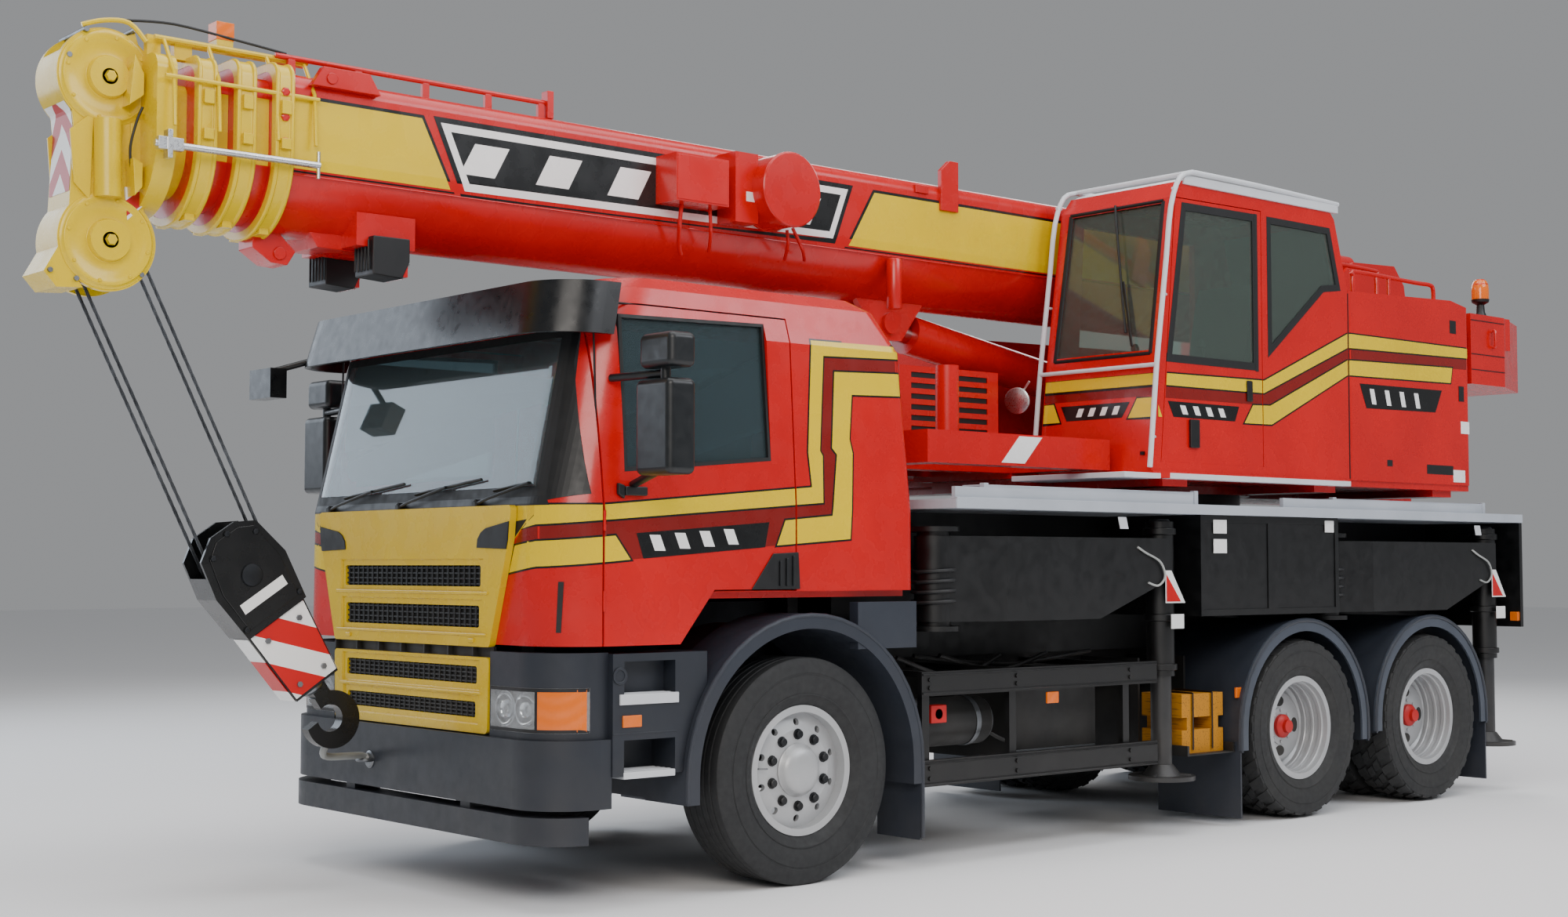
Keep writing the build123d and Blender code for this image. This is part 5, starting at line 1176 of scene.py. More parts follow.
def makeCraneCab():
    body = "superstructure"
    shape = bmesh.new()
    addPrism(shape, grown(craneCab["doorGlass"], 14), "y", 1238, 1244)
    finishPiece(shape, "craneDoorGlass", body, craneGlass, 0)
    shape = bmesh.new()
    addPrism(shape, grown(craneCab["rearGlass"], 14), "y", 1238, 1244)
    finishPiece(shape, "craneRearGlass", body, craneGlass, 0)
    shape = bmesh.new()
    addFrameRing(shape, grown(craneCab["doorGlass"], 16), 44, "y", 1234, 1252)
    addFrameRing(shape, grown(craneCab["rearGlass"], 16), 40, "y", 1234, 1252)
    addPrism(shape, [(-3480, 2620), (-3480, 3545), (-3452, 3545), (-3452, 2620)], "y", 1236, 1253)
    finishPiece(shape, "craneWindowSeals", body, sealRubber, 1)
    # windscreen in front, leaning with the cab's face
    shape = bmesh.new()
    corners = [(480, 2660), (1196, 2660), (1190, 3548), (494, 3548)]
    joinRings(shape, *[[spot(craneFront(up) - 22 + lift, left, up) for left, up in corners]
                       for lift in (0, 6)])
    finishPiece(shape, "craneScreen", body, craneGlass, 0)
    shape = bmesh.new()
    corners = [(486, 2668), (1190, 2668), (1184, 3540), (500, 3540)]
    line = [spot(craneFront(up) - 6, left, up) for left, up in corners]
    for one, two in zip(line, line[1:] + line[:1]):
        addTube(shape, [one, two], 17, 8, 0.6)
    finishPiece(shape, "craneScreenSeal", body, sealRubber, 0)
    # white tubes that guard the corners, the screen and the roof's edge
    shape = bmesh.new()
    for left in (1268, 408):
        run = [spot(craneFront(up) + 32, left, up) for up in (2030, 2300, 2600, 2900, 3200, 3500)]
        run += [spot(-2745, left, 3668), spot(-2860, left, 3712)]
        addTube(shape, eased(run, 3), 15, 10)
    addTube(shape, [spot(craneFront(2600) + 34, left, 2600) for left in (408, 1268)], 12, 10)
    addTube(shape, eased([spot(-2860, 1268, 3712), spot(-3500, 1262, 3712), spot(-4300, 1250, 3698)], 3),
            15, 10)
    addTube(shape, eased([spot(-2860, 408, 3712), spot(-3500, 412, 3712), spot(-4300, 425, 3698)], 3), 15,
            10)
    addTube(shape, [spot(-2860, left, 3712) for left in (408, 1268)], 15, 10)
    addTube(shape, [spot(-4300, left, 3698) for left in (425, 1250)], 15, 10)
    for left in (408, 1268):
        for up in (2200, 3000, 3600):
            addTube(shape, [spot(craneFront(up) + 26, left, up), spot(craneFront(up) - 20, left * 0.98
                                                                      + 5, up)], 8, 8)
    finishPiece(shape, "craneGuardTubes", body, sillPaint, 0)
    # roof cap with its light edge
    shape = bmesh.new()
    addPrism(shape, [(-2800, 3662), (-4185, 3674), (-4185, 3690), (-2860, 3688)], "y", 440, 1235)
    addPrism(shape, [(-2790, 3640), (-4290, 3640), (-4290, 3690), (-2800, 3692)], "y", 1236, 1262)
    finishPiece(shape, "craneRoofCap", body, sillPaint, 4)
    # pale sills under the cab and before it
    shape = bmesh.new()
    addBlock(shape, (-4385, -2640), (1200, 1263), (1972, 2004))
    addBlock(shape, (-2560, -2250), (430, 1263), (1970, 2000))
    finishPiece(shape, "craneSills", body, sillPaint, 3)
    # mirror, door handle and latch
    shape = bmesh.new()
    addTurned(shape, [(0, -20), (60, -16), (78, 0), (78, 10), (70, 14), (0, 14)], spot(-2415, 330, 2450),
              (0.9, 0.3, -0.1), 24)
    addTube(shape, [spot(-2440, 400, 2560), spot(-2425, 345, 2480)], 7)
    finishPiece(shape, "craneMirror", body, silverTube, 0)
    shape = bmesh.new()
    addBlock(shape, (-2905, -2825), (1250, 1268), (2150, 2310))
    addBlock(shape, (-3410, -3360), (1250, 1262), (2440, 2560))
    finishPiece(shape, "craneHandles", body, trimPlastic, 5)
    shape = bmesh.new()
    addTube(shape, eased([spot(craneFront(3560) + 8, 840, 3560), spot(craneFront(3300) + 16, 900, 3300),
                          spot(craneFront(2800) + 14, 1010, 2800)]), 7)
    addTube(shape, [spot(craneFront(3100) + 9, 955, 3100), spot(craneFront(2720) + 9, 1060, 2720)], 9, 8,
            0.6)
    finishPiece(shape, "craneWiper", body, trimPlastic, 0)
    # inside: console, levers, dark lining
    shape = bmesh.new()
    addPrism(shape, [(-2700, 2070), (-2900, 2070), (-2860, 2500), (-2780, 2620), (-2700, 2600)], "y", 520,
             700)
    for left in (610, 1090):
        addBlock(shape, (-3480, -3120), (left - 45, left + 45), (2560, 2640))
        addTube(shape, eased([spot(-3180, left, 2640), spot(-3170, left, 2700), spot(-3150, left, 2760)]),
                9)
        addTurned(shape, [(0, -30), (22, -22), (26, 10), (14, 34), (0, 38)], spot(-3146, left, 2775),
                  (0.1, 0, 1), 14)
    addPrism(shape, [(-4240, 2070), (-4336, 2070), (-4336, 3170), (-4210, 3560), (-4180, 3560),
                     (-4290, 3170)], "y", 480,
             1195)
    finishPiece(shape, "craneConsole", body, dashPlastic, 8)
    shape = bmesh.new()
    addBlock(shape, (-2575, -2480), (1180, 1200), (2100, 2120))
    finishPiece(shape, "craneStep", body, darkBolt, 2)


def makeSuperstructure():
    body = "superstructure"
    shape = bmesh.new()
    # shallow seams and recessed grips on the left housing, drawn as dark blocks; the dark of the grips is
    # painted shade
    addBlock(shape, (-4401, -4395), (1243, 1251), (2020, 3160))
    for ahead, out, up in (((-5620, -5545), 1252.5, (3000, 3085)), ((-5560, -5250), 1252, (2075, 2135)),
                           ((-4860, -4800), 1252, (2110, 2150)), ((-5700, -5640), 1254, (2560, 2660))):
        addBlock(shape, ahead, (1249, out), up)
    finishPiece(shape, "housingSeamsAndGripShade", body, darkPartsAndPaintedShade, 2)
    shape = bmesh.new()
    addBlock(shape, (-5760, -5660), (1249, 1253), (2350, 2430))
    addBlock(shape, (-5700, -5560), (1249, 1253), (2030, 2110))
    finishPiece(shape, "housingPlates", body, whiteEnamel, 2)
    # right housing: blades in the louvres, latches on the doors
    shape = bmesh.new()
    for row in range(7):
        z = 2180 + row * 60
        addPrism(shape, [(-5440, z + 2), (-5440, z + 7), (-4720, z + 7), (-4720, z + 2)], "y", 1236, 1249,
                 -1)
    for middle in (-3060, -4070, -5080):
        addBlock(shape, (middle - 400, middle - 350), (1243, 1250), (2330, 2420), -1)
        for up in (2180, 2570):
            addBlock(shape, (middle + 395, middle + 430), (1243, 1250), (up - 30, up + 30), -1)
    finishPiece(shape, "rightDoorFittings", body, darkPartsAndPaintedShade, 1)
    # handrails on the left housing's roof
    shape = bmesh.new()
    addTube(shape, eased([spot(-4560, 1180, 3185), spot(-4560, 1180, 3290), spot(-4600, 1180, 3320),
                          spot(-5300, 1150, 3320),
                          spot(-5480, 1150, 3320), spot(-5520, 1150, 3290), spot(-5520, 1150, 3190)], 4),
            14)
    addTube(shape, [spot(-4980, 1165, 3200), spot(-4980, 1165, 3320)], 12)
    addTube(shape, eased([spot(-4700, 700, 3180), spot(-4700, 700, 3420), spot(-4760, 700, 3470),
                          spot(-5500, 700, 3470), spot(-5560, 700, 3430), spot(-5560, 700, 3200)], 4), 14)
    addTube(shape, [spot(-5130, 700, 3200), spot(-5130, 700, 3470)], 12)
    finishPiece(shape, "roofRails", body, redEnamel, 0)
    # pale slanted patch on the front beam
    shape = bmesh.new()
    addPrism(shape, [(-1560, 2035), (-1700, 2180), (-1880, 2180), (-1740, 2035)], "y", 1000, 1002)
    finishPiece(shape, "beamPatch", body, whiteEnamel, 0)
    # cooler louvres
    shape = bmesh.new()
    for row in range(6):
        z = 2235 + row * 60
        addPrism(shape, [(-1452, z), (-1440, z - 10), (-1440, z - 6), (-1452, z + 6)], "y", -780, 260)
        addBlock(shape, (-2150, -1540), (330, 334), (z, z + 30))
    finishPiece(shape, "coolerSlats", body, darkPartsAndPaintedShade, 0)
    # counterweight: plate seams and grips
    shape = bmesh.new()
    for z in (2792, 2896, 3122):
        for side in (1, -1):
            addBlock(shape, (-6308, -5890), (1199, 1202.5), (z - 3, z + 3), side)
        addPrism(shape, [(-1000, z - 3), (1000, z - 3), (1000, z + 3), (-1000, z + 3)], "x", -6812,
                 -6814.8)
    finishPiece(shape, "weightSeams", body, darkPartsAndPaintedShade, 0)
    shape = bmesh.new()
    for side in (1, -1):
        addTube(shape, eased([spot(-6150, side * 1200, 2960), spot(-6150, side * 1226, 2960),
                              spot(-6150, side * 1226, 3060), spot(-6150, side * 1200, 3060)], 5), 10)
        addPrism(shape, [(-6360, 2950), (-6420, 2950), (-6420, 3165), (-6360, 3165)], "y", 1140, 1180,
                 side)
    finishPiece(shape, "weightGrips", body, redEnamel, 2)
    # beacon: ribbed amber dome over the black foot
    shape = bmesh.new()
    addTurned(shape, [(0, 0), (57, 0), (58, 60), (55, 100), (42, 128), (20, 140), (0, 142)],
              spot(-6340, 1010, 3313), (0, 0, 1), 32)
    finishPiece(shape, "beaconDome", body, amberLens, 1)
    shape = bmesh.new()
    addTurned(shape, [(0, 22), (36, 22), (42, 30), (30, 60), (26, 110), (56, 128), (60, 148), (0, 148)],
              spot(-6340, 1010, 3165), (0, 0, 1), 28)
    finishPiece(shape, "beaconFoot", body, trimPlastic, 1)


def makeBoomDetails():
    body = "boom_base"
    # long rail on the roof of the boom with its end post
    shape = bmesh.new()
    addTube(shape, [spot(2255, 232, 3733), spot(820, 232, 3733)], 13)
    for ahead in (2180, 1850, 1500, 1160, 860):
        addBlock(shape, (ahead - 18, ahead + 18), (222, 246), (3650, 3724))
    addBlock(shape, (800, 835), (205, 262), (3655, 3790))
    addPrism(shape, [(2135, 3600), (2080, 3690), (1850, 3690), (1794, 3600)], "y", 310, 352)
    addPin(shape, 26, 310, 360, spot(2040, 0, 3640), (0, 1, 0), 16)
    addPrism(shape, [(-1794, 3500), (-1794, 3730), (-1860, 3789), (-1932, 3789), (-1932, 3500)], "y", 300,
             330)
    addBlock(shape, (-1700, -1600), (300, 322), (3580, 3625))
    for ahead in (-3000, -4200):
        addBlock(shape, (ahead - 60, ahead + 60), (300, 318), (3560, 3640))
    finishPiece(shape, "boomBrackets", body, redEnamel, 3)
    # weld seams where the belly meets the sides
    shape = bmesh.new()
    for side in (1, -1):
        addTube(shape, [spot(2200, side * 310, 3200), spot(-5800, side * 310, 3200)], 3.5, 6)
    finishPiece(shape, "boomSeams", body, redEnamel, 0)
    # wear pads bolted round the mouth
    shape = bmesh.new()
    for side in (1, -1):
        for up in (3330, 3440, 3550):
            addTurned(shape, [(0, 333), (20, 333), (20, 345), (12, 350), (0, 350)], spot(2256, 0, up),
                      (0, side, 0), 6)
    for left in (-180, -60, 60, 180):
        addTurned(shape, [(0, 3678), (20, 3678), (20, 3690), (0, 3692)], spot(2256, left, 0), (0, 0, 1),
                  6)
    finishPiece(shape, "mouthBolts", body, redEnamel, 0)
    # work lights: black housings with lenses facing the road
    for side, hand in bothSides:
        shape = bmesh.new()
        addPrism(shape, [(1800, 2975), (1612, 2975), (1612, 2870), (1650, 2790), (1800, 2800)], "y",
                 side * 138, side * 306)
        for n in range(5):
            addBlock(shape, (1802, 1812), (side * (150 + n * 30), side * (160 + n * 30)), (2820, 2960))
        finishPiece(shape, "workLamp" + hand, body, trimPlastic, 6)
        shape = bmesh.new()
        addPrism(shape, [(1611, 2865), (1647, 2793), (1640, 2789), (1604, 2861)], "y", side * 150,
                 side * 294)
        finishPiece(shape, "workLampLens" + hand, body, clearLens, 1)
    shape = bmesh.new()
    addPrism(shape, [(2270, 2900), (2180, 2840), (2100, 2835), (2060, 2900), (2150, 2985), (2270, 2985)],
             "y", -70, 70)
    addPin(shape, 30, -80, 80, spot(2140, 0, 2885), (0, 1, 0), 20)
    addPrism(shape, [(1500, 3000), (1560, 2915), (1980, 2925), (2020, 2990)], "y", -120, 120)
    finishPiece(shape, "jibLug", body, redEnamel, 4)
    # cable reel: rim rings, hub and outlet; the box next to it has a lid seam
    shape = bmesh.new()
    centre = spot(-480, 0, 3425)
    addTurned(shape, [(190.5, 352), (196, 352), (196, 366), (190.5, 366)], centre, (0, 1, 0), 48)
    addTurned(shape, [(0, 546), (196, 546), (196, 553), (188, 559), (0, 563)], centre, (0, 1, 0), 48)
    addBlock(shape, (-112, 207), (478, 484), (3308, 3532))
    finishPiece(shape, "reelTrim", body, redEnamel, 2)
    shape = bmesh.new()
    for radius, route in ((11, [(120, 400, 3300), (130, 396, 3200), (90, 340, 3100), (60, 318, 3060)]),
                          (9, [(-60, 400, 3300), (-70, 396, 3180), (-110, 330, 3090)]),
                          (9, [(-560, 420, 3240), (-575, 410, 3170), (-620, 330, 3100)]),
                          (9, [(-620, 395, 3260), (-700, 380, 3160), (-760, 330, 3110)])):
        addTube(shape, eased([spot(*place) for place in route]), radius)
    addTurned(shape, [(0, 2905), (40, 2905), (43, 2912), (43, 3172), (38, 3184), (0, 3186)],
              spot(-1420, 330, 0), (0, 0, 1), 28)
    finishPiece(shape, "reelHoses", body, redEnamel, 0)
    shape = bmesh.new()
    addPrism(shape, [(-250, 3350), (-250, 3400), (-330, 3400), (-330, 3350)], "y", 460, 462)
    finishPiece(shape, "reelPlate", body, whiteEnamel, 0)


head = {"cheek": 118, "lower": (2950, 2850), "upper": (2965, 3540)}


def makeBoomHead():
    body = "boom_section_3"
    cheek = head["cheek"]
    shape = bmesh.new()
    for side in (1, -1):
        # round covers over the sheaves, with ribs and a hub nut
        for ahead, up in (head["lower"], head["upper"]):
            centre = spot(ahead, 0, up)
            addTurned(shape, [(0, cheek + 40), (34, cheek + 40), (40, cheek + 36), (86, cheek + 34),
                              (92, cheek + 14),
                              (150, cheek + 10), (160, cheek + 16), (188, cheek + 16), (196, cheek + 6),
                              (206, cheek + 3),
                              (206, cheek - 4), (0, cheek - 4)], centre, (0, side, 0), 56)
            addTurned(shape, [(0, cheek + 38), (26, cheek + 38), (26, cheek + 54), (22, cheek + 58),
                              (0, cheek + 58)], centre,
                      (0, side, 0), 6)
            for n in range(8):
                turn = n * math.pi / 4 + 0.2
                addPin(shape, 9, cheek + 12, cheek + 21, centre
                       + Vector((math.cos(turn), 0, math.sin(turn))) * 0.173, (0, side, 0), 6)
        # upright tube up the cheek between the covers, and its side flanges
        addTube(shape, [spot(2965, side * (cheek + 16), 3360), spot(2958, side * (cheek + 16), 3030)], 58,
                18)
        addPrism(shape, [(3020, 3390), (3120, 3300), (3100, 3080), (3030, 3010)], "y", cheek, cheek + 12,
                 side)
        addPrism(shape, [(2780, 3400), (2860, 3360), (2850, 3060), (2775, 3040)], "y", cheek, cheek + 12,
                 side)
        # bracing plates back to the collar
        addPrism(shape, [(2838, 3560), (2838, 3470), (2900, 3420), (2880, 3640)], "y", cheek, cheek + 90,
                 side)
        addPrism(shape, [(2838, 3080), (2838, 3180), (2880, 3200), (2870, 3040)], "y", cheek, cheek + 90,
                 side)
    finishPiece(shape, "headCovers", body, yellowEnamel, 3)
    # arrow-shaped bands on the front plate, and a patch of them behind each cheek's tube
    skin = skinOf("boom_section_3")
    for side, sheet in ((1, chevronLeft), (-1, chevronRight)):
        shape = bmesh.new()
        addFilm(shape, [(0, 3045), (side * (cheek - 8), 3045), (side * (cheek - 8), 3420), (0, 3420)],
                "x", 1, skin, 1.5, cutsAt("up", steps(3045, 3420, 15)))
        finishPiece(shape, "headBoard" + ("Left" if side == 1 else "Right"), body, sheet, 0)
    shape = bmesh.new()
    for side in (1, -1):
        addPrism(shape, [(2882, 3085), (2735, 3080), (2870, 2945)], "y", cheek + 1, cheek + 14, side)
    finishPiece(shape, "headSidePatch", body, chevronSheet, 0)
    # guard bars over the upper sheaves, the top cross tube and the lip's rope keepers
    shape = bmesh.new()
    upper, lower = [(2850, 3760), (3060, 3730), (3130, 3610)], [(3080, 2680), (3190, 2706), (2800, 2720)]
    for places, radius, reach in ((upper, 12, cheek + 20), (lower, 11, cheek + 12)):
        for ahead, up in places:
            addPin(shape, radius, -reach, reach, spot(ahead, 0, up), (0, 1, 0), 12)
    finishPiece(shape, "ropeKeepers", body, zincBolt, 1)
    # rail above the collars: posts, second rail and amber side lamp
    shape = bmesh.new()
    for ahead in (2110, 2290, 2560, 2760):
        addTube(shape, [spot(ahead, 215, 3725), spot(ahead, 325, 3560), spot(ahead, 345, 3330)], 9, 8)
    addTube(shape, [spot(2090, 215, 3725), spot(2800, 215, 3725)], 12, 8)
    addTube(shape, [spot(2090, 332, 3540), spot(2800, 332, 3540)], 10, 8)
    addBlock(shape, (2620, 2700), (150, 190), (3650, 3720))
    addTube(shape, eased([spot(2830, 200, 3700), spot(2900, 190, 3770), spot(2990, 150, 3775),
                          spot(3080, 130, 3745)], 4), 11, 8)
    finishPiece(shape, "headRails", body, yellowEnamel, 1)
    shape = bmesh.new()
    addBlock(shape, (2437, 2519), (127, 209), (3766, 3844))
    finishPiece(shape, "headLamp", body, amberLens, 1)
    # silver pole with its hinge and end fittings
    shape = bmesh.new()
    addTube(shape, [spot(2105, 372, 3240), spot(2860, 372, 3240)], 15, 12)
    addBlock(shape, (2740, 2850), (356, 392), (3215, 3268))
    addBlock(shape, (2790, 2812), (350, 398), (3180, 3300))
    addTube(shape, [spot(2112, 372, 3180), spot(2112, 372, 3300)], 9, 8)
    finishPiece(shape, "silverPole", body, silverTube, 2)
    # slack cables of the hoist's limit switch
    shape = bmesh.new()
    addTube(shape, eased([spot(2900, 150, 3790), spot(2700, 190, 3800), spot(2400, 215, 3770),
                          spot(2200, 228, 3748)], 5), 6, 8)
    addTube(shape, eased([spot(2840, 200, 3420), spot(2860, 190, 3360), spot(2880, 175, 3250),
                          spot(2870, 165, 3150)], 5), 6, 8)
    finishPiece(shape, "headCables", body, hoseRubber, 0)


makeCraneCab()
makeSuperstructure()
makeBoomDetails()
makeBoomHead()
print("crane done")


collars = [
    # body, front of the collar, its length, half width, rise of its flat top
    ("boom_base", 2300, 88, 334, 404), ("boom_section_1", 2473, 88, 322, 392),
    ("boom_section_2", 2646, 88, 310, 380),
]


def boomSection(half, rise):
    # section of the boom seen from the front: (left, up)
    axisUp, corner = 3275, 70
    ring = [(half * math.cos(a), axisUp + half * math.sin(a))
            for a in [-math.pi * i / 24 for i in range(25)]]
    ring += [(-half + corner - corner * math.cos(a), axisUp + rise - corner + corner * math.sin(a))
             for a in [math.pi / 2 * i / 6 for i in range(7)]]
    ring += [(half - corner + corner * math.sin(a), axisUp + rise - corner + corner * math.cos(a))
             for a in [math.pi / 2 * i / 6 for i in range(7)]]
    return ring


def makeCollars():
    for body, front, length, half, rise in collars:
        shape = bmesh.new()
        rows = []
        # rounded ribs at both edges of the collar
        for ahead, lift in ((front - length - 2, -10), (front - length - 2, 4), (front - length + 4, 9),
                            (front - length + 14, 9),
                            (front - length + 20, 2), (front - 20, 2), (front - 14, 9), (front - 4, 9),
                            (front + 1.5, 4), (front + 1.5, -30)):
            rows.append([shape.verts.new(spot(ahead, left, up)) for left, up in boomSection(half + lift,
                                                                                            rise + lift)])
        for one, two in zip(rows, rows[1:]):
            for i in range(len(one)):
                j = (i + 1) % len(one)
                shape.faces.new((one[i], one[j], two[j], two[i]))
        # clamping lugs with bolts on the sides and the belly
        for left, up, wide, high in ((half + 8, 3480, 30, 60), (half + 8, 3320, 30, 46),
                                     (-half - 8, 3480, 30, 60),
                                     (-half - 8, 3320, 30, 46), (120, 3275 - half + 22, 60, 30),
                                     (-120, 3275 - half + 22, 60, 30)):
            addBlock(shape, (front - length + 22, front - 22), (left - wide / 2, left + wide / 2),
                     (up - high / 2, up + high / 2))
        finishPiece(shape, "collar" + body.title().replace("_", ""), body, yellowEnamel, 2)


# the falls lean back from the boom head to the block, whose own lean is in degrees
falls = {"tilt": math.radians(26), "length": 1560, "strands": 4}
hook = {
    "axle": (head["lower"][0] - falls["length"] * math.sin(falls["tilt"]),
             head["lower"][1] - falls["length"] * math.cos(falls["tilt"])),
    "lean": 34, "half": 96,
}


def onBlock(along, left, up):
    # place in the leaning block: along its width, left, and up towards its top
    lean = math.radians(hook["lean"])
    return spot(hook["axle"][0] + along * math.cos(lean) + up * math.sin(lean), left,
                hook["axle"][1] - along * math.sin(lean) + up * math.cos(lean))


def addBlockPrism(shape, outline, near, far):
    joinRings(shape, *[[onBlock(along, depth, up) for along, up in outline] for depth in (near, far)])


def makeHookBlock():
    body = "hook_block"
    half = hook["half"]
    shape = bmesh.new()
    for side in (1, -1):
        for along, up in ((-120, 150), (110, 160), (-150, -190), (150, -190), (0, 215)):
            addTurned(shape, [(0, half), (15, half), (15, half + 10), (11, half + 14), (0, half + 14)],
                      onBlock(along, 0, up), (0, side, 0), 6)
        addTurned(shape, [(0, half), (48, half), (52, half + 6), (48, half + 14), (26, half + 18),
                          (0, half + 18)],
                  onBlock(0, 0, 0), (0, side, 0), 28)
    finishPiece(shape, "blockBolts", body, darkBolt, 1)
    shape = bmesh.new()
    for side in (1, -1):
        addBlockPrism(shape, [(-128, 178), (-60, 212), (60, 212), (128, 160), (160, 0), (140, -200),
                              (-140, -200), (-160, 0)],
                      side * half, side * (half + 5))
    finishPiece(shape, "blockCheeks", body, blackEnamel, 3)
    shape = bmesh.new()
    for side in (1, -1):
        addBlockPrism(shape, [(-120, -80), (120, -80), (120, -128), (-120, -128)], side * (half + 5),
                      side * (half + 6.2))
    finishPiece(shape, "blockPlate", body, whiteEnamel, 0)
    # weight below the sheaves, striped, with rounded edges and its clamp bolts
    shape = bmesh.new()
    for side in (1, -1):
        addBlockPrism(shape, [(-150, -236), (150, -236), (117, -588), (-117, -588)], side * 80, side * 84)
    addBlockPrism(shape, [(-162, -236), (-157, -236), (-122, -596), (-127, -596)], -70, 70)
    addBlockPrism(shape, [(162, -236), (157, -236), (122, -596), (127, -596)], -70, 70)
    finishPiece(shape, "blockWeightBands", body, blockBands, 2)
    shape = bmesh.new()
    for side in (1, -1):
        for along, up in ((-90, -290), (90, -290), (-70, -540), (70, -540)):
            addPin(shape, 14, 84, 94, onBlock(along, 0, up), (0, side, 0), 6)
    lean = math.radians(hook["lean"])
    addTurned(shape, [(0, -20), (46, -20), (56, -8), (56, 8), (46, 20), (0, 20)], onBlock(0, 0, -612),
              (math.sin(lean), 0, math.cos(lean)), 24)
    finishPiece(shape, "blockFittings", body, zincBolt, 1)
    # strands on the sheaves inside the block
    shape = bmesh.new()
    for left in (-46, 46):
        arc = [onBlock(math.cos(a) * 158, left, -math.sin(a) * 158)
               for a in [math.pi * i / 14 for i in range(15)]]
        addTube(shape, arc, 9, 8)
    finishPiece(shape, "blockStrands", body, ropeSteel, 0)


def makeFalls():
    # laid wire rope: strands twisted round each line of the falls
    across = Vector((math.cos(falls["tilt"]), 0, -math.sin(falls["tilt"])))
    shape = bmesh.new()
    for left in (-46, 46):
        for offset in (-142, 142):
            start, end = [spot(ahead, left, up) + across * (offset / 1000)
                          for ahead, up in (hook["axle"], head["lower"])]
            for strand in range(falls["strands"]):
                line = []
                count = 84
                for i in range(count + 1):
                    turn = 2 * math.pi * (i / 12 + strand / falls["strands"])
                    middle = start.lerp(end, i / count)
                    line.append(middle + across * (0.0038 * math.cos(turn))
                                + Vector((0, 1, 0)) * (0.0038 * math.sin(turn)))
                addTube(shape, line, 4.2, 5)
    finishPiece(shape, "laidFalls", "hoist_falls", ropeSteel, 0, 60, ["hoist_ropes"])


def makeLashing():
    # the hook is lashed down to a shackle on the bumper
    anchor = spot(1462, -300, 566)
    shape = bmesh.new()
    low = onBlock(0, 0, -905)
    addTube(shape, eased([onBlock(-10, -20, -850), onBlock(60, -60, -900), low
                          + Vector((0.04, -0.09, -0.08)),
                          low.lerp(anchor, 0.5) + Vector((0.03, -0.02, -0.03)), anchor
                          + Vector((0.03, 0, 0.02)), anchor]), 17, 10)
    finishPiece(shape, "lashing", "carrier", paleRope, 0)
    shape = bmesh.new()
    addTube(shape, eased([anchor + Vector((-0.03, -0.03, 0)), anchor + Vector((0.03, -0.035, 0)), anchor
                          + Vector((0.05, 0, 0)),
                          anchor + Vector((0.03, 0.035, 0)), anchor + Vector((-0.03, 0.03, 0))]), 9, 10)
    addTurned(shape, [(0, 0), (42, 0), (42, 6), (34, 12), (0, 12)], spot(1448, -300, 566), (1, 0, 0), 24)
    finishPiece(shape, "lashingShackle", "carrier", zincBolt, 0)


def overWheel(ahead, radius, parts):
    # places in an arch over a wheel, from its front to its rear: (ahead, up)
    turns = [math.pi * n / parts for n in range(parts + 1)]
    return [(ahead + math.cos(turn) * radius, wheelPlace["up"] + math.sin(turn) * radius)
            for turn in turns]


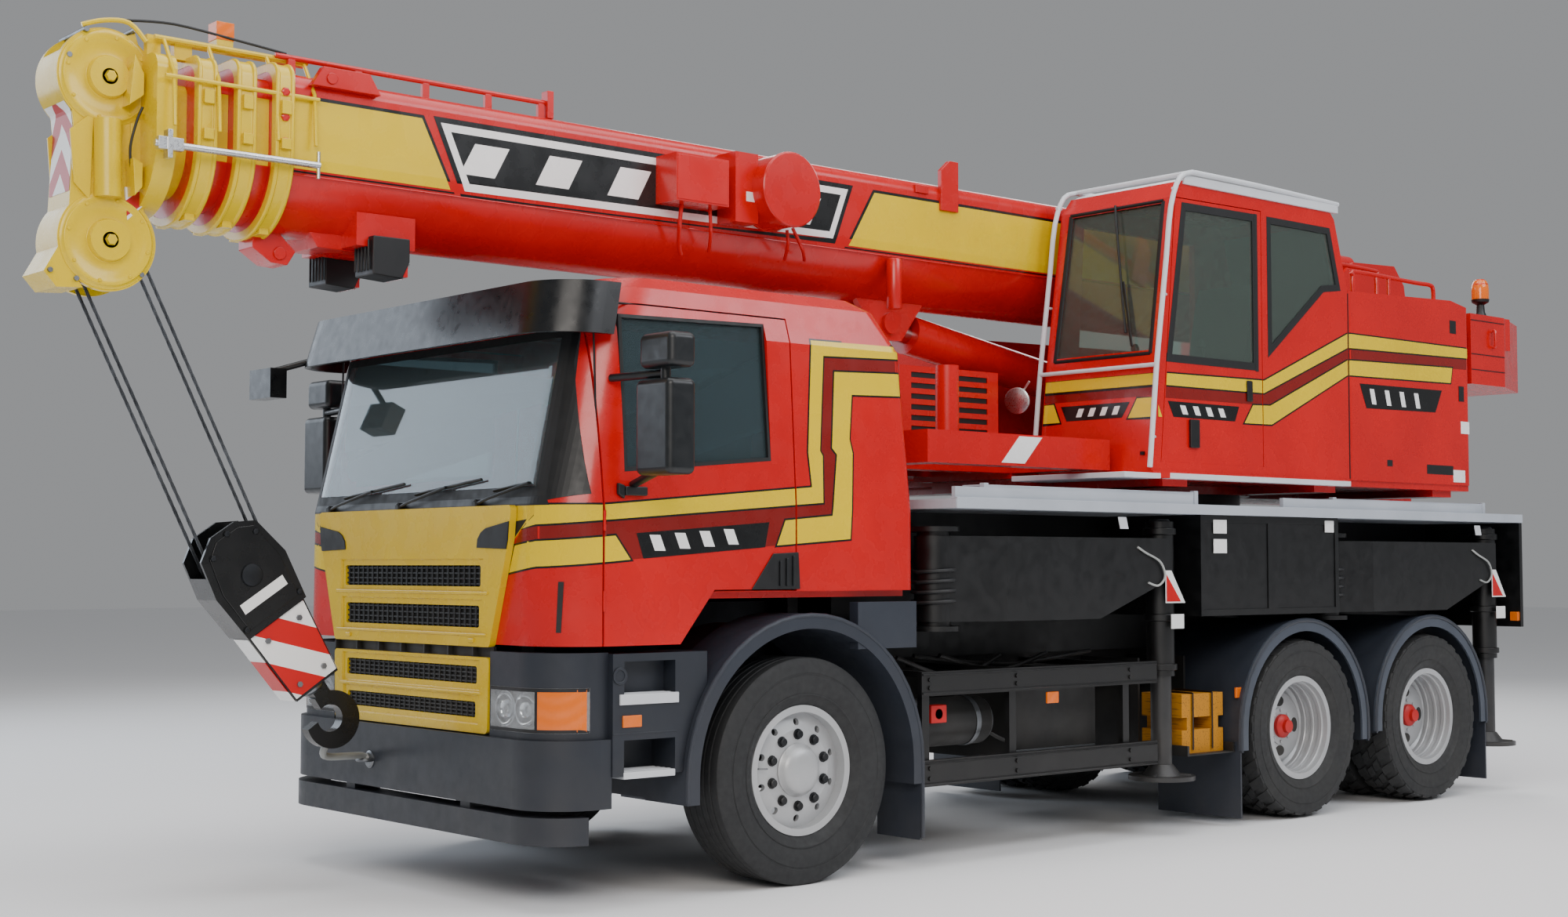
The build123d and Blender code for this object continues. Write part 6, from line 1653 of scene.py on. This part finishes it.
def makeCabSides():
    for side, hand in bothSides:
        # corner panel's dark slot, door handle, side steps, lamp and intake
        shape = bmesh.new()
        skin = skinOf("truck_cab")
        addFilm(shape, [(side * 1092, 1200), (side * 1110, 1200), (side * 1118, 1420),
                        (side * 1098, 1420)], "x", 1, skin, 2.5,
                [("up", 1300)])
        finishPiece(shape, "cornerSlot" + hand, "carrier", darkPartsAndPaintedShade, 0)
        shape = bmesh.new()
        addPrism(shape, [(50, 1380), (345, 1380), (215, 1545), (60, 1552)], "y", 1216, 1222, side)
        finishPiece(shape, "airIntake" + hand, "carrier", trimPlastic, 3)
        shape = bmesh.new()
        for n in range(3):
            addPrism(shape, [(88 + n * 40, 1395), (100 + n * 40, 1395), (100 + n * 40, 1535 - n * 12),
                             (88 + n * 40, 1535 - n * 12)],
                     "y", 1222, 1230, side)
        finishPiece(shape, "intakeFins" + hand, "carrier", mirrorPlastic, 2)
        shape = bmesh.new()
        addBlock(shape, (955, 1075), (side * 1213, side * 1240), (1795, 1835))
        addPrism(shape, [(1075, 1780), (1110, 1800), (1110, 1850), (1075, 1840)], "y", 1213, 1236, side)
        finishPiece(shape, "doorHandle" + hand, "door_" + hand.lower(), trimPlastic, 6)
        # step module: pale treads with grooves, panel over the upper one, lamp and round cover
        shape = bmesh.new()
        addBlock(shape, (766, 1086), (side * 1045, side * 1222), (884, 930))
        addBlock(shape, (780, 1062), (side * 1045, side * 1214), (562, 592))
        for up in (592, 930):
            for n in range(4):
                addBlock(shape, (790, 1050), (side * (1062 + n * 38), side * (1080 + n * 38)),
                         (up - 2, up + 3))
        finishPiece(shape, "stepTreads" + hand, "carrier", sillPaint, 3)
        shape = bmesh.new()
        addBlock(shape, (781, 1059), (side * 1120, side * 1130), (931, 1098))
        addTurned(shape, [(0, 1205), (26, 1205), (30, 1214), (38, 1214), (38, 1218), (26, 1218),
                          (22, 1210), (0, 1210)],
                  spot(1084, 0, 1010), (0, side, 0), 28)
        addBlock(shape, (772, 1120), (side * 1208, side * 1214), (754, 762))
        finishPiece(shape, "stepPanel" + hand, "carrier", bumperPlastic, 2)
        shape = bmesh.new()
        addBlock(shape, (968, 1070), (side * 1208, side * 1220), (786, 838))
        finishPiece(shape, "stepLamp" + hand, "carrier", amberLens, 4)
        # rolled lip of the front arch
        shape = bmesh.new()
        line = [(728, 435)] + overWheel(0, 728, 24) + [(-728, 160)]
        addTube(shape, [spot(a, side * 1240, u) for a, u in line], 11, 8)
        finishPiece(shape, "frontArchLip" + hand, "carrier", guardPlastic, 0)
        for place, foot in (("middle", 430), ("rear", 470)):
            ahead = axleAhead[place]
            shape = bmesh.new()
            line = [(ahead + 636, foot)] + overWheel(ahead, 636, 24) + [(ahead - 636, foot)]
            addTube(shape, [spot(a, side * 1243, u) for a, u in line], 13, 8)
            addTube(shape, [spot(a, side * 1170, u) for a, u in overWheel(ahead, 632, 24)], 7, 6)
            finishPiece(shape, place + "ArchLip" + hand, "carrier", guardPlastic, 0)
            # flat band over each arch in the lighter plastic, a painted highlight on the rounded lip
            shape = bmesh.new()
            inner, outer = [[(ahead + radius, foot)] + overWheel(ahead, radius, 28)
                            + [(ahead - radius, foot)]
                            for radius in (572, 648)]
            for n in range(len(inner) - 1):
                addPrism(shape, [outer[n], outer[n + 1], inner[n + 1], inner[n]], "y", 1233, 1246, side)
            bmesh.ops.remove_doubles(shape, verts=shape.verts, dist=0.0002)
            finishPiece(shape, place + "ArchHighlightBand" + hand, "carrier", guardLipPaintedHighlight, 0)


def makeDeck():
    for side, hand in bothSides:
        # edge channel of the deck with lashing holes, and the two stowed boards on it
        shape = bmesh.new()
        addBlock(shape, (-6362, -938), (side * 1262, side * 1280), (1776, 1832))
        addBlock(shape, (-6362, -938), (side * 1230, side * 1270), (1825, 1832))
        finishPiece(shape, "deckEdge" + hand, "carrier", deckPlate, 2)
        shape = bmesh.new()
        for first, last, high in ((-1180, -2915, 70), (-4235, -5960, 64)):
            addBlock(shape, (last, first), (side * 1215, side * 1232), (1832, 1832 + high))
            addBlock(shape, (last, first), (side * 1080, side * 1215), (1832 + high - 8, 1832 + high))
            addBlock(shape, (last - 4, last + 30), (side * 1206, side * 1238), (1832, 1840 + high))
            addBlock(shape, (first - 30, first + 4), (side * 1206, side * 1238), (1832, 1840 + high))
        finishPiece(shape, "deckBoards" + hand, "carrier", deckPlate, 2)
        # lashing holes in the boards, drawn as dark discs of painted shade
        shape = bmesh.new()
        for n in range(8):
            for start in (-1300, -4350):
                addPin(shape, 13, 1231, 1233.5, spot(start - n * 210, 0, 1868), (0, side, 0), 12)
        finishPiece(shape, "boardHoleShade" + hand, "carrier", darkPartsAndPaintedShade, 0)
        # slanted lashing tabs and white reflector squares under the deck's edge
        shape = bmesh.new()
        for ahead in (-2242, -5833):
            addPrism(shape, [(ahead - 40, 1688), (ahead + 26, 1688), (ahead + 44, 1752),
                             (ahead - 22, 1752)], "y", 1254, 1261, side)
        finishPiece(shape, "deckTabs" + hand, "carrier", sillPaint, 2)
        shape = bmesh.new()
        for ahead, low, high, wide in ((-3110, 1672, 1750, 120), (-3110, 1560, 1640, 120),
                                       (-4180, 1690, 1760, 90)):
            addBlock(shape, (ahead - wide / 2, ahead + wide / 2), (side * 1240, side * 1243), (low, high))
        finishPiece(shape, "reflectorSquares" + hand, "carrier", whiteEnamel, 0)


outriggerRows = [("front", -1010, -2712), ("rear", -4420, -6120)]


def makeOutriggers():
    for side, hand in ((1, "left"), (-1, "right")):
        for place, pivot, jack in outriggerRows:
            body = "outrigger_leg_" + place + "_" + hand
            label = place.title() + hand.title()
            shape = bmesh.new()
            # bushes and bolted caps at the pivot, web plates on the arm, clamp rings on the jack tube
            for low, high in ((1208, 1240), (1400, 1430), (1608, 1638)):
                addSleeve(shape, 86, 99, 0, high - low, spot(pivot, side * 1040, low), (0, 0, 1), 36)
            for low in (905, 1180, 1660):
                addTurned(shape, [(78, 0), (92, 3), (92, 37), (78, 40), (78, 0)],
                          spot(jack, side * 1125, low), (0, 0, 1), 32)
            addTurned(shape, [(0, 0), (60, 0), (52, 14), (0, 16)], spot(jack, side * 1125, 1735),
                      (0, 0, 1), 24)
            finishPiece(shape, "legTrim" + label, body, outriggerPaint, 3)
            shape = bmesh.new()
            for n in range(4):
                up = 1300 + n * 52
                loop = [spot(pivot + math.cos(a) * 112, side * (1042 + math.sin(a) * 112), up
                             + 14 * math.sin(a / 2))
                        for a in [2 * math.pi * k / 20 for k in range(21)]]
                addTube(shape, loop, 10, 8)
            finishPiece(shape, "legHoses" + label, body, hoseRubber, 0)
            shape = bmesh.new()
            addTube(shape, eased([spot(jack + 330, side * 1241, 1590),
                                  spot(jack + 270, side * 1246, 1560),
                                  spot(jack + 150, side * 1250, 1510),
                                  spot(jack + 105, side * 1246, 1430),
                                  spot(jack + 160, side * 1244, 1380),
                                  spot(jack + 240, side * 1241, 1395)], 6), 6, 8)
            finishPiece(shape, "legPullCord" + label, body, paleRope, 0)
            shape = bmesh.new()
            addBlock(shape, (jack - 60, jack + 50), (side * 1241, side * 1244.5), (1140, 1220))
            addPrism(shape, [(jack - 80, 1282), (jack + 90, 1282), (jack + 90, 1462), (jack + 40, 1462)],
                     "y", 1236, 1239, side)
            finishPiece(shape, "legReflector" + label, body, whiteEnamel, 0)
            shape = bmesh.new()
            addPrism(shape, [(jack - 40, 1290), (jack + 84, 1290), (jack + 84, 1440)], "y", 1239, 1241,
                     side)
            finishPiece(shape, "legTriangle" + label, body, redLens, 0)
            # foot: cross ribs and the pin that holds its plate
            shape = bmesh.new()
            for n in range(4):
                turn = n * math.pi / 2 + 0.4
                way = Vector((math.cos(turn), math.sin(turn), 0))
                centre = spot(jack, side * 1125, 330)
                addTube(shape, [centre + way * 0.07, centre + way * 0.165 + Vector((0, 0, -0.004))], 10,
                        6)
            addPin(shape, 14, -78, 78, spot(jack, side * 1125, 420), (1, 0, 0), 14)
            finishPiece(shape, "footRibs" + label, "outrigger_jack_" + place + "_" + hand, jackPaint, 2)


def makeSideGear():
    for side, hand in bothSides:
        shape = bmesh.new()
        for low, high in ((400, 530), (845, 965)):
            for up in (low + 14, high - 14):
                addTube(shape, [spot(-2556, side * 1221, up), spot(-750, side * 1221, up)], 6, 6)
            for ahead in (-800, -1430, -2330):
                for up in (low + 40, high - 40):
                    addPin(shape, 12, 0, 8, spot(ahead, side * 1220, up), (0, side, 0), 6)
        finishPiece(shape, "guardRibs" + hand, "carrier", outriggerPaint, 0)
        shape = bmesh.new()
        for ahead, up in ((-1720, 800), (-3330, 760)):
            addBlock(shape, (ahead - 45, ahead + 45), (side * 1196, side * 1210), (up - 30, up + 30))
        finishPiece(shape, "sideMarkers" + hand, "carrier", amberLens, 4)
    # air reservoir straps, drain and lines; red coupling head
    shape = bmesh.new()
    for ahead in (-900, -1290):
        addSleeve(shape, 125, 130, -16, 16, spot(ahead, 960, 690), (1, 0, 0), 40)
    for ahead, way in ((-800, 1), (-1390, -1)):
        addTurned(shape, [(125, -2), (118, 14), (90, 30), (40, 38), (0, 40)], spot(ahead, 960, 690),
                  (way, 0, 0), 40)
    for low in (500, 880):
        addBlock(shape, (-2240, -1570), (1036, 1046), (low, low + 20))
    finishPiece(shape, "reservoirStraps", "carrier", zincBolt, 1)
    shape = bmesh.new()
    addBlock(shape, (-1010, -900), (1080, 1130), (700, 790))
    addTurned(shape, [(0, 0), (38, 0), (38, 40), (30, 50), (0, 50)], spot(-955, 1080, 745), (0, 1, 0), 20)
    finishPiece(shape, "airCoupling", "carrier", redHub, 4)
    shape = bmesh.new()
    for n, (a, b) in enumerate(((-1100, -2500), (-1250, -2100), (-900, -1700))):
        addTube(shape, eased([spot(a, 800 + n * 40, 1020), spot((a + b) / 2, 820 + n * 40, 960 - n * 25),
                              spot(b, 790 + n * 30, 1010)], 6), 12, 8)
    addTube(shape, eased([spot(-1400, 1010, 640), spot(-1600, 1020, 560), spot(-1900, 1000, 540),
                          spot(-2400, 900, 600)], 6), 10, 8)
    finishPiece(shape, "chassisHoses", "carrier", hoseRubber, 0)
    # fuel tank straps and filler on the right
    shape = bmesh.new()
    for ahead in (-1050, -1600, -2150):
        addBlock(shape, (ahead - 22, ahead + 22), (-1124, -1119), (470, 900))
    addTurned(shape, [(0, 0), (48, 0), (48, 24), (40, 30), (0, 30)], spot(-1300, -1060, 925),
              (0, -0.5, 1), 24)
    finishPiece(shape, "tankStraps", "carrier", zincBolt, 1)
    # straps over the timber
    shape = bmesh.new()
    low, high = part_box("timber_blocks")
    for ahead in (low.x + 0.1, high.x - 0.1):
        line = [Vector((ahead, low.y + 0.02, high.z + 0.003)),
                Vector((ahead, high.y + 0.003, high.z + 0.003)),
                Vector((ahead, high.y + 0.003, low.z + 0.02))]
        addTube(shape, line, 18, 6, 0.15)
    finishPiece(shape, "timberStraps", "carrier", hoseRubber, 0)


def makeRear():
    rear = -6365
    for side, hand in bothSides:
        shape = bmesh.new()
        addBlock(shape, (rear - 30, rear + 2), (side * 780, side * 1180), (1110, 1240))
        finishPiece(shape, "rearLampCase" + hand, "carrier", trimPlastic, 6)
        for n, (material, label) in enumerate(((amberLens, "Turn"), (redLens, "Brake"),
                                               (clearLens, "Reverse"))):
            shape = bmesh.new()
            addBlock(shape, (rear - 38, rear - 29), (side * (800 + n * 125), side * (915 + n * 125)),
                     (1122, 1228))
            finishPiece(shape, "rear" + label + hand, "carrier", material, 5)
        shape = bmesh.new()
        for n in range(5):
            addPrism(shape, [(side * (800 + n * 80), 1560), (side * (840 + n * 80), 1560),
                             (side * (880 + n * 80), 1700),
                             (side * (840 + n * 80), 1700)], "x", rear - 2, rear)
        finishPiece(shape, "rearBands" + hand, "carrier", redLens, 0)
        shape = bmesh.new()
        addBlock(shape, (rear + 10, rear + 60), (side * 1205, side * 1262), (1120, 1180))
        finishPiece(shape, "rearSideMarker" + hand, "carrier", amberLens, 5)
    # jaw coupling in the middle of the rear beam, with its hoses
    shape = bmesh.new()
    addBlock(shape, (rear - 14, rear), (-170, 170), (900, 1060))
    addTurned(shape, [(0, 0), (62, 0), (62, 70), (86, 100), (86, 130), (0, 130)], spot(rear, 0, 975),
              (-1, 0, 0), 28)
    addPin(shape, 24, -90, 90, spot(rear - 110, 0, 975), (0, 0, 1), 16)
    finishPiece(shape, "rearCoupling", "carrier", forgedIron, 3)
    shape = bmesh.new()
    addBlock(shape, (rear - 6, rear), (-260, 260), (1270, 1390))
    finishPiece(shape, "rearBlankPlate", "carrier", whiteEnamel, 3)


makeCollars()
makeHookBlock()
makeFalls()
makeLashing()
makeCabSides()
makeDeck()
makeOutriggers()
makeSideGear()
makeRear()
print("carrier done")

print("scene done")
